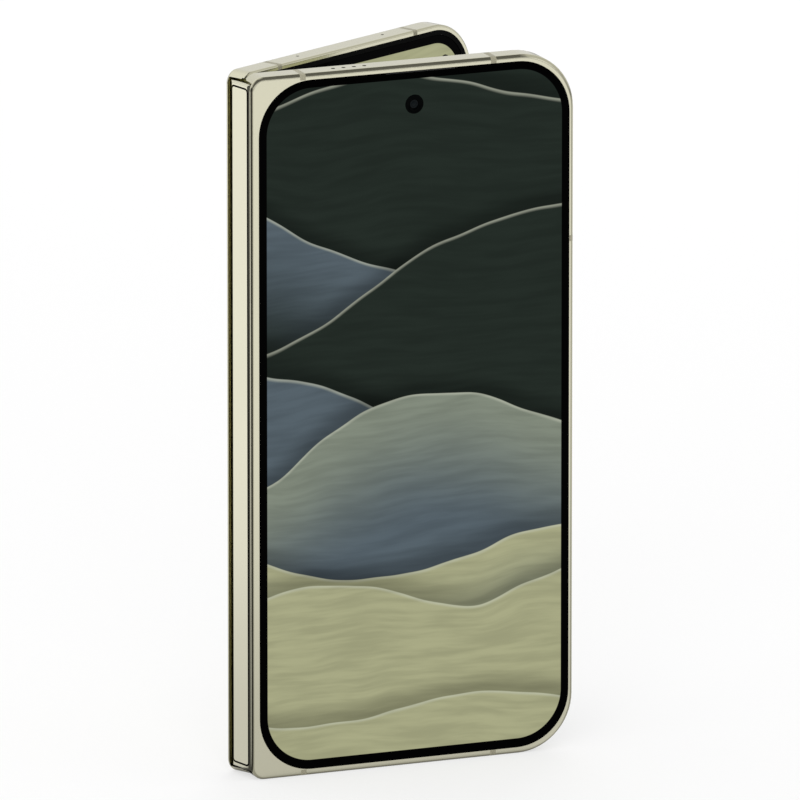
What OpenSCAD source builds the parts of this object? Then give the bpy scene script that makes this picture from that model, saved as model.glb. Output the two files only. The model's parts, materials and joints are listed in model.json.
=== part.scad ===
// Book-style foldable smartphone, standing on its lower end with the cover display to the front.
// The front half lies along the X axis, with its outer face to -Y. The spine and the rear half
// are turned about the two hinge pins, so the phone stands a little open.

/* [Body] */
// Height of the phone, along the hinge
phone_h = 155.2; // [129:0.1:190]
// Width of one half, from the hinge edge to the free edge
half_w = 74.6; // [66:0.1:92]
// Thickness of one half
half_t = 5.2; // [5.1:0.05:6.4]
// Gap between the inner faces when the phone is shut
shut_gap = 0.4; // [0.2:0.05:0.8]
// Corner radius at the free edge
corner_free = 12.5; // [9:0.1:16]
// Corner radius at the hinge edge
corner_hinge = 3; // [2.5:0.1:5]
// Edge rounding on the outer face
edge_out = 0.85; // [0.5:0.05:1.2]
// Edge rounding on the inner face
edge_in = 0.5; // [0.3:0.05:0.6]
// Thickness of the side walls
wall = 1.4; // [1.2:0.05:1.8]
// Thickness of the end walls beside the spine
end_wall = 1.3; // [1:0.05:1.35]
// Thickness of the metal floor behind the outer glass
floor_t = 0.5; // [0.4:0.05:0.7]

/* [Hinge] */
// Angle between the halves as the phone stands, in degrees
rest_open = 27; // [0:1:60]
// Distance from the closed middle plane to each hinge pin
pin_offset = 2.1; // [1.9:0.05:2.4]
// Gap between the two hinge edges when the phone is opened flat
flat_gap = 0.2; // [0.1:0.05:0.4]
// Radius of the rounded spine about each pin
spine_r = 2.4; // [2.2:0.05:2.5]
// Running gap between the spine and the halves
spine_gap = 0.15; // [0.1:0.05:0.25]
// Gap between the ends of the spine and the end walls
end_gap = 0.45; // [0.15:0.05:0.6]
// Distance from the pins to the flat back of the spine
spine_top = 2.3; // [2:0.05:2.35]
// Wall of the spine cover
spine_wall = 0.5; // [0.4:0.05:0.6]
// Width of the flat spine plate
plate_w = 5.3; // [4.4:0.1:5.4]
// Thickness of the spine plate
plate_t = 0.4; // [0.3:0.05:0.5]
// Width of the groove round the spine plate
plate_groove = 0.42; // [0.3:0.02:0.5]
// Radius of a hinge pin
pin_r = 0.4; // [0.3:0.05:0.45]
// Radius of the eyes and lugs on the pins
eye_r = 0.65; // [0.6:0.01:0.68]
// Radial clearance of a pin in its eye
pin_clear = 0.03; // [0.02:0.01:0.06]
// Length of one hinge module along the spine
module_len = 18; // [15:0.5:24]
// Width of one hinge lug along the spine
lug_w = 3; // [2.4:0.1:4]
// End clearance of an arm between its lugs
arm_clear = 0.1; // [0.05:0.01:0.2]

/* [Displays] */
// Thickness of the outer glass panes
glass_t = 0.5; // [0.4:0.05:0.6]
// How far the outer glass stands proud of the frame
glass_proud = 0.05; // [0:0.01:0.1]
// Metal margin beside the glass at the hinge edge
glass_hinge = 1.83; // [1.5:0.01:2.5]
// Metal margin beside the glass at the free edge
glass_free = 1.1; // [1:0.01:2]
// Metal margin beside the glass at the top and bottom
glass_end = 1.45; // [1.2:0.01:2]
// Corner radius of the glass
glass_corner = 12; // [8:0.1:14]
// Thickness of the cover display panel
cover_oled_t = 0.3; // [0.25:0.05:0.3]
// Thickness of the folding inner display
inner_oled_t = 0.7; // [0.5:0.05:0.8]
// Depth of the inner display below the raised lip
inner_recess = 0.15; // [0.05:0.01:0.25]
// Metal lip round the inner face
inner_lip = 1.1; // [0.6:0.05:1.15]
// Width of the soft trim round the inner display
trim_w = 1.15; // [0.9:0.05:2]
// Thickness of the plate behind the inner display
mid_t = 0.6; // [0.5:0.05:0.8]
// Radius of the cover camera's window
cover_cam_r = 2.2; // [1.6:0.1:2.6]
// Cover camera, from the hinge edge
cover_cam_x = 37.6; // [30:0.1:45]
// Cover camera, from the top of the phone
cover_cam_drop = 8.8; // [7.5:0.1:12]

/* [Keys and ports] */
// Length of the power key
power_len = 10.4; // [8:0.1:14]
// Length of the volume key
volume_len = 21.4; // [16:0.1:26]
// Width of both keys
key_w = 2; // [1.6:0.05:2.1]
// How far the keys stand proud
key_proud = 0.35; // [0.2:0.05:0.5]
// Travel of the power key
key_travel = 0.25; // [0.15:0.01:0.3]
// Rocking angle of the volume key each way, in degrees
key_rock = 1; // [0.5:0.1:1]
// Clearance round the keys and the tray door
slot_clear = 0.1; // [0.06:0.01:0.15]
// Height of the power key's middle above the foot
power_z = 99; // [94:0.5:108]
// Height of the volume key's middle above the foot
volume_z = 76; // [60:0.5:78]
// Width of the card tray
tray_w = 10.6; // [10:0.1:12]
// Thickness of the card tray
tray_t = 1; // [0.8:0.05:1.2]
// Length of the card tray
tray_len = 17.4; // [16:0.1:20]
// Height of the tray's middle above the foot
tray_z = 27; // [24:0.5:34]
// Width of the charging port's opening
usb_w = 8.34; // [8.3:0.02:8.4]
// Height of the charging port's opening
usb_h = 2.56; // [2.5:0.01:2.6]
// Wall of the charging port's shell
usb_wall = 0.2; // [0.15:0.01:0.25]
// Depth of the charging port
usb_depth = 6.2; // [5.8:0.1:7]
// Radius of the speaker holes
speaker_hole_r = 0.45; // [0.3:0.05:0.6]

/* [Cameras] */
// Width of the camera island
island_w = 33; // [30:0.5:36]
// Height of the camera island
island_h = 31; // [28:0.5:34]
// How far the island stands out of the back
island_out = 1.3; // [0.8:0.1:2]
// Corner radius of the island
island_corner = 8; // [5:0.5:10]
// Distance of the island from the free edge and the top
island_margin = 5.4; // [5:0.1:8]
// Height of one lens window
window_h = 11.6; // [10.5:0.1:12.5]
// Radius of a lens barrel
lens_r = 4.1; // [3:0.1:4.6]

/* [Hidden] */
$fn = 64;
// A small overlap for cuts that run out of a face
cut = 1;
// Clearance between fixed pieces that sit in each other
seat = 0.05;
// Room between the inner parts and the plate over them
part_gap = 0.2;
// Depth of the sound ducts behind the end walls
duct_deep = 1.2;

// Pin place in a half: from the hinge edge and from the outer face
pin_x = pin_offset - flat_gap / 2;
pin_t = half_t + shut_gap / 2 - pin_offset;
half_angle = rest_open / 2;
cavity_r = spine_r + spine_gap;
hinge_deep = pin_x + cavity_r;

// Levels through the thickness of a half, from the outer face
glass_in = glass_t - glass_proud;
oled_in = glass_in + cover_oled_t;
floor_out = oled_in + seat;
floor_in = floor_out + floor_t;
display_face = half_t - inner_recess;
display_back = display_face - inner_oled_t;
mid_out = display_back - mid_t;
room = mid_out - floor_in;
// Where the screw holes end, and how short of that the screws stop
thread_end = floor_in + 0.2;
thread_gap = 0.1;

// Places along the width of a half
hinge_wall = 1;
room_x = hinge_deep + hinge_wall;
bond_x = hinge_deep + 0.15;
wall_x = half_w - wall;

// Rest placement: the box of the standing phone is centred on the origin
lean_left = 2 * pin_offset * sin(half_angle) + (pin_x - edge_out) * cos(rest_open)
    + (pin_t - edge_out) * sin(rest_open) + edge_out;
reach_back = 2 * pin_offset * cos(half_angle) + (half_w - pin_x - edge_out) * sin(rest_open)
    + (pin_t - edge_out) * cos(rest_open) + edge_out;
axis_x = (lean_left - (half_w - pin_x)) / 2;
axis_y = (pin_t + glass_proud - reach_back) / 2;

// Spine: lengths along Z
spine_low = end_wall + end_gap;
spine_high = phone_h - spine_low;
rim_end = 0.9;
rim_round = 0.55;
channel_corner = 1;
plate_corner = 0.6;
module_margin = 22;
module_zs = [module_margin, phone_h / 2, phone_h - module_margin];
lug_zs = [-module_len / 2 + lug_w / 2, 0, module_len / 2 - lug_w / 2];
finger_w = (module_len - 3 * lug_w) / 2 - 2 * arm_clear;
finger_zs = [-(module_len - lug_w) / 4, (module_len - lug_w) / 4];
base_top = eye_r + 0.15;
pad_len = 6.4;
arm_t = 0.7;
arm_level = pin_t - 0.6;
arm_screw_x = room_x + pad_len / 2 + 1;
arm_head_r = 0.85;
arm_head_t = 0.3;
pin_head_t = 0.3;
washer_t = 0.16;
nut_t = 0.6;
nut_r = 0.7;
thread_over = 0.15;

// Top and side holes, from the hinge edge, and the charging port in the middle of its half
usb_x = half_w / 2;
mid_level = half_t / 2;
hole_pitch = 2.4;
speaker_xs = [for (i = [0:3]) 19.9 + i * hole_pitch];
lower_speaker_xs = [for (i = [0:4]) usb_x - 20.6 + i * hole_pitch];
mic_xs = [20.5, half_w - 26.5];
lower_mic_x = usb_x + 10.9;
mic_r = 0.35;
mic_half = 1.5;
mic_deep = 2.4;
break_w = 1.3;
break_xs = [11.3, half_w - 19.3];
break_drop = 41.5;
slit_x0 = 31;
slit_x1 = 47;
slit_w = 0.35;
cover_cam_z = phone_h - cover_cam_drop;
lens_hole_r = 1.1;
cam_block = 2.6;
inner_cam_in = 8.8;
inner_cam_x = half_w - inner_cam_in;
inner_cam_z = phone_h - inner_cam_in;
inner_cam_r = 1.9;

// Screws and their bosses in each half, as [from the hinge edge, height]
boss_r = 1.2;
screw_r = 0.4;
head_r = boss_r - 0.2;
head_t = 0.35;
boss_end = 6;
boss_near = 15;
boss_side = wall_x - 3.8;
boss_high = 44;
front_bosses = [
    [boss_near, boss_end], [half_w - 25.2, boss_end], [boss_side, boss_high],
    [boss_side, phone_h - boss_high], [half_w - 23.2, phone_h - boss_end]
];

// Camera island
island_x0 = half_w - island_margin - island_w;
island_z0 = phone_h - island_margin - island_h;
window_gap = (island_h - 2 * window_h) / 3;
window_zs = [island_z0 + window_gap + window_h / 2, island_z0 + 2 * window_gap + 1.5 * window_h];
window_w = island_w - 2 * window_gap;
lens_spots = [
    [island_x0 + window_gap + window_h / 2, window_zs[1]],
    [island_x0 + window_gap + window_h / 2, window_zs[0]],
    [island_x0 + island_w - window_gap - window_h / 2, window_zs[0]]
];
flash_x = island_x0 + island_w - window_gap - window_h / 2;
lens_block = 4.8;

// Batteries and boards, from the pads at the hinge to the side of the free edge
inner_x0 = room_x + pad_len + 1.4;
battery_x1 = boss_side - boss_r - 1.8;
front_battery_z0 = tray_z + tray_w / 2 + 5.7;
front_battery_z1 = phone_h - 38;
rear_battery_z0 = 28;
rear_battery_z1 = phone_h - 75.2;
coil_z = 58;
coil_r = 21;
coil_hole_r = 9;
board_gap = 0.2;
board_t = 0.7;
board_face = floor_in + board_gap + board_t;
front_board_z0 = phone_h - 31;
front_board_z1 = phone_h - 13.2;
front_board_x1 = half_w - 13.2;
rear_board_z0 = rear_battery_z1 + 4;
rear_board_x1 = half_w - 8.2;
rear_bosses = [
    [half_w - 7.2, 22], [boss_near, 24], [boss_side - 0.4, rear_board_z0 + 4],
    [boss_side - 0.4, island_z0 - 8.8], [boss_near - 1, phone_h - boss_end]
];

// Placement of the three bodies. A half is drawn with X from its hinge edge, Y from its outer face.
module in_front_half() {
    translate([axis_x - pin_x, axis_y - pin_t, 0]) children();
}

// The spine is drawn about the point midway between its pins, with its back to -X.
module in_spine() {
    translate([axis_x, axis_y, 0]) rotate([0, 0, half_angle]) translate([0, pin_offset, 0]) children();
}

module in_rear_half() {
    in_spine() translate([0, pin_offset, 0]) rotate([0, 0, half_angle]) mirror([0, 1, 0])
        translate([-pin_x, -pin_t, 0]) children();
}

// A flat panel in the X-Z plane, from level t0 to level t1, drawn as a 2D outline
module sheet(t0, t1) {
    translate([0, t1, 0]) rotate([90, 0, 0]) linear_extrude(height = t1 - t0) children();
}

// A rectangle with radius a at its two low-X corners and radius b at its two high-X corners
module outline(x0, x1, z0, z1, a, b) {
    translate([x0 + a, z0]) square([x1 - x0 - a - b, z1 - z0]);
    translate([x0, z0 + a]) square([a, z1 - z0 - 2 * a]);
    translate([x1 - b, z0 + b]) square([b, z1 - z0 - 2 * b]);
    for (z = [z0 + a, z1 - a]) {
        translate([x0 + a, z]) circle(r = a);
    }
    for (z = [z0 + b, z1 - b]) {
        translate([x1 - b, z]) circle(r = b);
    }
}

module slab(x0, x1, z0, z1, t0, t1, a, b) {
    sheet(t0, t1) outline(x0, x1, z0, z1, a, b);
}

module block(x0, x1, z0, z1, t0, t1) {
    translate([x0, t0, z0]) cube([x1 - x0, t1 - t0, z1 - z0]);
}

// A pill shape in the Y-Z plane that runs along X
module side_pill(x0, x1, z, len, w) {
    translate([x0, mid_level, z]) rotate([90, 0, 90]) linear_extrude(height = x1 - x0) {
        translate([-w / 2, -(len - w) / 2]) square([w, len - w]);
        for (s = [-1, 1]) {
            translate([0, s * (len - w) / 2]) circle(r = w / 2);
        }
    }
}

// A pill shape in the X-Y plane that runs along Z
module end_pill(x, z0, z1, len, w) {
    translate([x, mid_level, z0]) linear_extrude(height = z1 - z0) {
        translate([-(len - w) / 2, -w / 2]) square([len - w, w]);
        for (s = [-1, 1]) {
            translate([s * (len - w) / 2, 0]) circle(r = w / 2);
        }
    }
}

// A round bar along the thickness
module stud(x, z, r, t0, t1) {
    translate([x, t1, z]) rotate([90, 0, 0]) cylinder(h = t1 - t0, r = r);
}

// Section of the rounded edge: X inward from the side face, Y through the thickness
module edge_section(depth) {
    translate([edge_out, 0]) square([depth - edge_out, half_t]);
    translate([0, edge_out]) square([edge_out, half_t - edge_out - edge_in]);
    translate([edge_in, half_t / 2]) square([edge_out, half_t / 2]);
    translate([edge_out, edge_out]) circle(r = edge_out);
    translate([edge_in, half_t - edge_in]) circle(r = edge_in);
}

// The same section swept round a quarter corner of radius r, for a corner at low X and low Z
module edge_corner(r) {
    rotate([0, 0, 180]) rotate_extrude(angle = 90) intersection() {
        translate([r, 0]) mirror([1, 0]) edge_section(r);
        square([r, half_t]);
    }
}

// The solid outer form of one half, before it is hollowed
module half_form() {
    mid_len = half_w - corner_hinge - corner_free;
    translate([corner_hinge, 0, 0]) rotate([90, 0, 90]) linear_extrude(height = mid_len)
        mirror([1, -1]) edge_span();
    translate([0, 0, corner_hinge]) linear_extrude(height = phone_h - 2 * corner_hinge)
        edge_section(corner_hinge);
    translate([half_w, 0, corner_free]) linear_extrude(height = phone_h - 2 * corner_free)
        mirror([1, 0]) edge_section(corner_free);
    translate([corner_hinge, 0, corner_hinge]) stand_up() edge_corner(corner_hinge);
    translate([corner_hinge, 0, phone_h - corner_hinge]) mirror([0, 0, 1]) stand_up()
        edge_corner(corner_hinge);
    translate([half_w - corner_free, 0, corner_free]) mirror([1, 0, 0]) stand_up()
        edge_corner(corner_free);
    translate([half_w - corner_free, 0, phone_h - corner_free]) mirror([1, 0, 0]) mirror([0, 0, 1])
        stand_up() edge_corner(corner_free);
}

// Section of the whole half across its height: X is height here, Y is thickness
module edge_span() {
    edge_section(phone_h / 2);
    translate([phone_h, 0]) mirror([1, 0]) edge_section(phone_h / 2);
}

// Turns a shape drawn on the X-Y plane with Z as thickness to the X-Z plane with Y as thickness
module stand_up() {
    mirror([0, 1, 0]) rotate([90, 0, 0]) children();
}

// The room that the spine turns in, open at the hinge edge and to the inner face
module hinge_room() {
    translate([0, 0, end_wall]) linear_extrude(height = phone_h - 2 * end_wall) {
        translate([pin_x, pin_t]) circle(r = cavity_r);
        translate([-cut, pin_t - cavity_r]) square([cut + pin_x, half_t + cut]);
        translate([-cut, pin_t]) square([cut + hinge_deep, half_t]);
    }
}

// Rounds the inner hinge corner of the end walls about the pin, so that the halves roll past
module hinge_corner_cut() {
    translate([0, 0, -cut]) linear_extrude(height = phone_h + 2 * cut) difference() {
        translate([-cut, pin_t]) square([cut + pin_x, half_t]);
        translate([pin_x, pin_t]) circle(r = pin_x);
    }
}

module glass_outline(grow) {
    outline(glass_hinge - grow, half_w - glass_free + grow, glass_end - grow,
        phone_h - glass_end + grow, glass_corner + grow, glass_corner + grow);
}

// What every half has: the tray with its glass seat, display seat, hinge pads and screw bosses
module half_body(bosses) {
    room_corner = corner_free - wall;
    difference() {
        half_form();
        sheet(-cut, glass_in) glass_outline(seat);
        difference() {
            slab(room_x, wall_x, wall, phone_h - wall, floor_in, half_t + cut, 1, room_corner);
            for (z = module_zs) {
                block(0, room_x + pad_len, z - module_len / 2, z + module_len / 2, 0, arm_level);
            }
            for (b = bosses) {
                stud(b[0], b[1], boss_r, 0, mid_out);
            }
        }
        slab(hinge_deep - cut, wall_x, wall, phone_h - wall, mid_out, half_t + cut, 0.5, room_corner);
        slab(-2 * cut, half_w - inner_lip, inner_lip, phone_h - inner_lip, display_back - seat,
            half_t + cut, 0.5, corner_free - inner_lip);
        hinge_room();
        hinge_corner_cut();
        for (z = module_zs) {
            block(hinge_deep - cut, room_x + cut, z - module_len / 2, z + module_len / 2, arm_level, half_t);
            for (s = [-1, 1]) {
                stud(arm_screw_x, z + s * module_len / 3, screw_r, thread_end, half_t);
            }
        }
        for (b = bosses) {
            stud(b[0], b[1], screw_r, thread_end, half_t);
        }
    }
}

// The strips of the side walls that the plastic antenna breaks fill
module break_zones(side_drops) {
    for (x = break_xs) {
        block(x, x + break_w, -cut, wall, -cut, half_t + cut);
        block(x, x + break_w, phone_h - wall, phone_h + cut, -cut, half_t + cut);
    }
    for (drop = side_drops) {
        block(wall_x, half_w + cut, phone_h - drop - break_w / 2, phone_h - drop + break_w / 2,
            -cut, half_t + cut);
    }
}

module hole_up(x, r, z0, z1) {
    translate([x, mid_level, z0]) cylinder(h = z1 - z0, r = r);
}

module front_form() {
    half_body(front_bosses);
}

module front_cuts() {
    sheet(glass_in - cut, oled_in + seat) cover_oled_outline(seat);
    stud(cover_cam_x, cover_cam_z, cover_cam_r + seat, 0, floor_in + cut);
    for (x = speaker_xs) {
        hole_up(x, speaker_hole_r, phone_h - wall - cut, phone_h + cut);
    }
    side_pill(wall_x - cut, half_w + cut, tray_z, door_len + 2 * slot_clear, door_w + 2 * slot_clear);
    earpiece_slot();
}

// The narrow sound slit between the cover glass and the top of the frame
module earpiece_slot() {
    block(slit_x0, slit_x1, phone_h - glass_end - slit_w, phone_h - glass_end + seat, glass_in - cut,
        floor_in + cut);
}

module cover_oled_outline(grow) {
    inset = 1.2;
    outline(glass_hinge + inset - grow, half_w - glass_free - inset + grow,
        glass_end + inset - grow, phone_h - glass_end - inset + grow,
        glass_corner - inset + grow, glass_corner - inset + grow);
}

module front_frame() {
    color([0.85, 0.84, 0.74]) in_front_half() difference() {
        front_form();
        front_cuts();
        break_zones([break_drop]);
    }
}

module front_antenna_breaks() {
    color([0.66, 0.64, 0.56]) in_front_half() intersection() {
        front_form();
        break_zones([break_drop]);
    }
}

// Room in the plate round the charging port and the inner camera
usb_room = 0.6;
cam_room = 0.3;

module mid_plate(bosses, notch_usb) {
    difference() {
        slab(hinge_deep + seat, wall_x - seat, wall + seat, phone_h - wall - seat, mid_out,
            display_back, 0.5, corner_free - wall - seat);
        for (b = bosses) {
            stud(b[0], b[1], screw_r + seat, 0, half_t);
            stud(b[0], b[1], head_r + seat, display_back - head_t, half_t);
        }
        if (notch_usb) {
            block(usb_x - usb_w / 2 - usb_room, usb_x + usb_w / 2 + usb_room, 0,
                usb_depth + usb_room + usb_wall, 0, half_t);
            stud(inner_cam_x, inner_cam_z, inner_cam_r + cam_room, 0, half_t);
        }
    }
}

module front_mid_plate() {
    color([0.72, 0.73, 0.74]) in_front_half() mid_plate(front_bosses, false);
}

module cover_glass() {
    color([0.08, 0.09, 0.09]) in_front_half() difference() {
        sheet(-glass_proud, glass_in) glass_outline(0);
        block(slit_x0, slit_x1, phone_h - glass_end - slit_w, phone_h, -cut, half_t);
    }
}

module cover_display() {
    color([0.35, 0.4, 0.36]) in_front_half() difference() {
        sheet(glass_in, oled_in) cover_oled_outline(0);
        stud(cover_cam_x, cover_cam_z, cover_cam_r, 0, half_t);
    }
}

module cover_camera() {
    body_level = floor_in + 0.3;
    color([0.12, 0.12, 0.13]) in_front_half() {
        difference() {
            stud(cover_cam_x, cover_cam_z, cover_cam_r - 0.1, glass_in, body_level);
            stud(cover_cam_x, cover_cam_z, lens_hole_r, glass_in - cut, glass_in + 0.4);
        }
        block(cover_cam_x - cam_block, cover_cam_x + cam_block, cover_cam_z - cam_block,
            cover_cam_z + cam_block, body_level, mid_out - 0.3);
    }
}

module earpiece() {
    color([0.2, 0.2, 0.2]) in_front_half() {
        block(slit_x0 + 2 * seat, slit_x1 - 2 * seat, phone_h - glass_end - slit_w + seat,
            phone_h - glass_end, glass_in, floor_in);
        difference() {
            block(speaker_xs[0] - 3.9, speaker_xs[3] + 2.9, phone_h - 12, phone_h - wall - seat,
                floor_in + seat, mid_out - part_gap);
            for (x = speaker_xs) {
                hole_up(x, speaker_hole_r, phone_h - wall - duct_deep, phone_h);
            }
        }
    }
}

// A battery pouch with round corners and the thinner strip of its protection board at the top
module pouch(x0, x1, z0, z1) {
    strip_in = 3;
    strip_h = 2.4;
    slab(x0, x1, z0, z1, floor_in + seat, mid_out - part_gap, 1.6, 1.6);
    block(x0 + strip_in, x1 - strip_in, z1, z1 + strip_h, floor_in + seat, mid_out - 0.9);
}

module front_battery() {
    color([0.2, 0.21, 0.23]) in_front_half()
        pouch(inner_x0, battery_x1, front_battery_z0, front_battery_z1);
}

module front_board() {
    chip_w = 4.5;
    chip_t = 1;
    color([0.1, 0.3, 0.2]) in_front_half() {
        difference() {
            slab(inner_x0, front_board_x1, front_board_z0, front_board_z1, board_face - board_t, board_face,
                1, 1);
            block(cover_cam_x - cam_block - 0.4, cover_cam_x + cam_block + 0.4, cover_cam_z - cam_block - 3,
                phone_h, 0, half_t);
        }
        for (x = [inner_x0 + 2.6, inner_x0 + 10.6, front_board_x1 - 16, front_board_x1 - 8]) {
            block(x, x + chip_w, front_board_z0 + 3, front_board_z0 + 9, board_face, board_face + chip_t);
        }
    }
}

// Soft trim that laps the edge of the inner display on three sides, a hair below the lip
trim_low = 0.03;
panel_corner = 0.3;

module display_trim() {
    difference() {
        slab(bond_x, half_w - inner_lip - seat, inner_lip + seat, phone_h - inner_lip - seat,
            display_back, half_t - trim_low, panel_corner, corner_free - inner_lip - seat);
        sheet(0, half_t + cut) panel_outline(seat);
    }
}

module panel_outline(grow) {
    edge = inner_lip + trim_w;
    outline(bond_x - (grow > 0 ? cut : 0), half_w - edge + grow, edge - grow, phone_h - edge + grow,
        panel_corner, corner_free - edge + grow);
}

module front_display_trim() {
    color([0.06, 0.06, 0.06]) in_front_half() display_trim();
}

module inner_panel() {
    sheet(display_back, display_face) panel_outline(0);
}

module inner_display_front() {
    color([0.45, 0.46, 0.36]) in_front_half() inner_panel();
}

// A plate on each hinge pad with two fingers that reach round the pin
module hinge_arms() {
    inset = 0.4;
    for (z = module_zs) {
        difference() {
            union() {
                block(room_x, room_x + pad_len - inset / 2, z - module_len / 2 + inset,
                    z + module_len / 2 - inset, arm_level, arm_level + arm_t);
                for (f = finger_zs) {
                    block(pin_x, room_x, z + f - finger_w / 2, z + f + finger_w / 2, arm_level,
                        arm_level + arm_t);
                    translate([pin_x, pin_t, z + f - finger_w / 2]) cylinder(h = finger_w, r = eye_r);
                }
            }
            translate([pin_x, pin_t, z - module_len]) cylinder(h = 2 * module_len, r = pin_r + pin_clear);
            for (s = [-1, 1]) {
                stud(arm_screw_x, z + s * module_len / 3, screw_r, 0, half_t);
            }
        }
    }
}

module front_hinge_arms() {
    color([0.62, 0.63, 0.65]) in_front_half() hinge_arms();
}

// Screws that hold the middle plate to its bosses and the arms to their pads
module half_screws(bosses) {
    arm_face = arm_level + arm_t;
    for (b = bosses) {
        stud(b[0], b[1], head_r, display_back - head_t, display_back);
        stud(b[0], b[1], screw_r, thread_end + thread_gap, display_back - head_t);
    }
    for (z = module_zs) {
        for (s = [-1, 1]) {
            stud(arm_screw_x, z + s * module_len / 3, arm_head_r, arm_face, arm_face + arm_head_t);
            stud(arm_screw_x, z + s * module_len / 3, screw_r, thread_end + thread_gap, arm_face);
        }
    }
}

module front_screws() {
    color([0.55, 0.55, 0.57]) in_front_half() half_screws(front_bosses);
}

// Card tray: its level, the pill-shaped door that closes the slot and the reader behind it
tray_low = mid_level - tray_t / 2;
door_len = tray_w + 2.6;
door_w = 1.8;
door_t = 1.1;
reader_x0 = wall_x - 0.2 - tray_len;

module sim_reader() {
    gap = 0.15;
    shell = 0.2;
    color([0.75, 0.75, 0.76]) in_front_half() difference() {
        block(reader_x0, wall_x - 0.1, tray_z - tray_w / 2 - gap - shell, tray_z + tray_w / 2 + gap + shell,
            tray_low - gap - shell, tray_low + tray_t + gap + shell);
        block(reader_x0 + shell, wall_x + cut, tray_z - tray_w / 2 - gap, tray_z + tray_w / 2 + gap,
            tray_low - gap, tray_low + tray_t + gap);
    }
}

// Magnets behind the free edge of both halves, opposite each other when the phone is shut: two above the
// card tray, and two above the power key with a fifth of the free length below each
module latch_magnets() {
    magnet_w = 2.1;
    magnet_len = 6;
    magnet_fit = 0.1;
    tray_room = 4.3;
    tray_step = 12;
    key_room = 0.4;
    corner_room = 8.6;
    free_parts = 5;
    tray_end = tray_z + tray_w / 2 + tray_room;
    key_end = power_z + power_len / 2 + key_room;
    spacing = (phone_h - corner_room - key_end - 2 * magnet_len) / free_parts;
    for (z = [tray_end, tray_end + tray_step, key_end + spacing, key_end + 2 * spacing + magnet_len]) {
        block(wall_x - magnet_w - magnet_fit, wall_x - magnet_fit, z, z + magnet_len,
            floor_in + magnet_fit, mid_out - part_gap);
    }
}

module front_magnets() {
    color([0.7, 0.7, 0.72]) in_front_half() latch_magnets();
}

module rear_magnets() {
    color([0.7, 0.7, 0.72]) in_rear_half() latch_magnets();
}

// Plugs of the cables on a board, each as [low X, low Z], with the hollow that the press tool fits
module cable_plugs(spots) {
    plug_w = 6;
    plug_h = 2.2;
    plug_t = 0.8;
    rim = 0.5;
    for (p = spots) {
        difference() {
            block(p[0], p[0] + plug_w, p[1], p[1] + plug_h, board_face, board_face + plug_t);
            block(p[0] + rim, p[0] + plug_w - rim, p[1] + rim, p[1] + plug_h - rim,
                board_face + plug_t / 2, half_t);
        }
    }
}

module front_connectors() {
    plug_z = front_board_z0 + 11.6;
    color([0.12, 0.12, 0.12]) in_front_half()
        cable_plugs([[inner_x0 + 4, plug_z], [front_board_x1 - 15, plug_z]]);
}

module rear_form() {
    half_body(rear_bosses);
}

// How far the charging port's shell starts inside the end face
usb_set_in = 0.1;
// Ledge of the floor that the camera island sits on
island_ledge = 1;

module rear_cuts() {
    sheet(0, floor_in + cut) island_outline(-island_ledge);
    stud(usb_x, coil_z, coil_r + 1, 0, floor_out + 0.2);
    for (x = mic_xs) {
        hole_up(x, mic_r, phone_h - wall - cut, phone_h + cut);
    }
    hole_up(lower_mic_x, mic_r, -cut, wall + cut);
    for (x = lower_speaker_xs) {
        hole_up(x, speaker_hole_r, -cut, wall + cut);
    }
    end_pill(usb_x, -cut, usb_depth + usb_wall + 2 * seat, usb_w + 2 * usb_wall + 2 * seat,
        usb_h + 2 * usb_wall + 2 * seat);
    side_pill(wall_x - cut, half_w + cut, power_z, power_len + 2 * slot_clear, key_w + 2 * slot_clear);
    side_pill(wall_x - cut, half_w + cut, volume_z, volume_len + 2 * slot_clear, key_w + 2 * slot_clear);
}

module rear_frame() {
    color([0.85, 0.84, 0.74]) in_rear_half() difference() {
        rear_form();
        rear_cuts();
        break_zones([]);
    }
}

module rear_antenna_breaks() {
    color([0.66, 0.64, 0.56]) in_rear_half() intersection() {
        rear_form();
        break_zones([]);
    }
}

module rear_mid_plate() {
    color([0.72, 0.73, 0.74]) in_rear_half() mid_plate(rear_bosses, true);
}

module island_outline(grow) {
    outline(island_x0 - grow, island_x0 + island_w + grow, island_z0 - grow, island_z0 + island_h + grow,
        island_corner + grow, island_corner + grow);
}

module back_glass() {
    color([0.83, 0.83, 0.75]) in_rear_half() difference() {
        sheet(-glass_proud, glass_in) glass_outline(0);
        sheet(-cut, half_t) island_outline(seat);
    }
}

module window_outline(z, grow) {
    r = window_h / 2 + grow;
    outline(island_x0 + window_gap - grow, island_x0 + window_gap + window_w + grow, z - r, z + r,
        r - 0.01, r - 0.01);
}

// Step round the island's face, and the seats of the windows in it
island_step = 0.4;
window_t = 0.7;
window_proud = 0.1;
window_back = window_t - window_proud - island_out;
window_ledge = 1;

module camera_island() {
    color([0.84, 0.83, 0.74]) in_rear_half() difference() {
        union() {
            sheet(-island_out + island_step, glass_in) island_outline(0);
            sheet(-island_out, -island_out + island_step) island_outline(-island_step);
        }
        for (z = window_zs) {
            sheet(-island_out - cut, window_back) window_outline(z, seat);
            sheet(-island_out - cut, half_t) window_outline(z, -window_ledge);
        }
    }
}

module camera_windows() {
    color([0.05, 0.05, 0.06]) in_rear_half() {
        for (z = window_zs) {
            sheet(window_back - window_t, window_back) window_outline(z, 0);
        }
    }
}

module camera_modules() {
    barrel_wall = 1.6;
    lens_set_in = 0.6;
    color([0.15, 0.15, 0.16]) in_rear_half() {
        for (p = lens_spots) {
            difference() {
                stud(p[0], p[1], lens_r, window_back, floor_in);
                stud(p[0], p[1], lens_r - barrel_wall, window_back - cut, window_back + lens_set_in);
            }
            block(p[0] - lens_block, p[0] + lens_block, p[1] - lens_block, p[1] + lens_block, floor_in,
                mid_out - part_gap);
        }
    }
}

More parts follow.
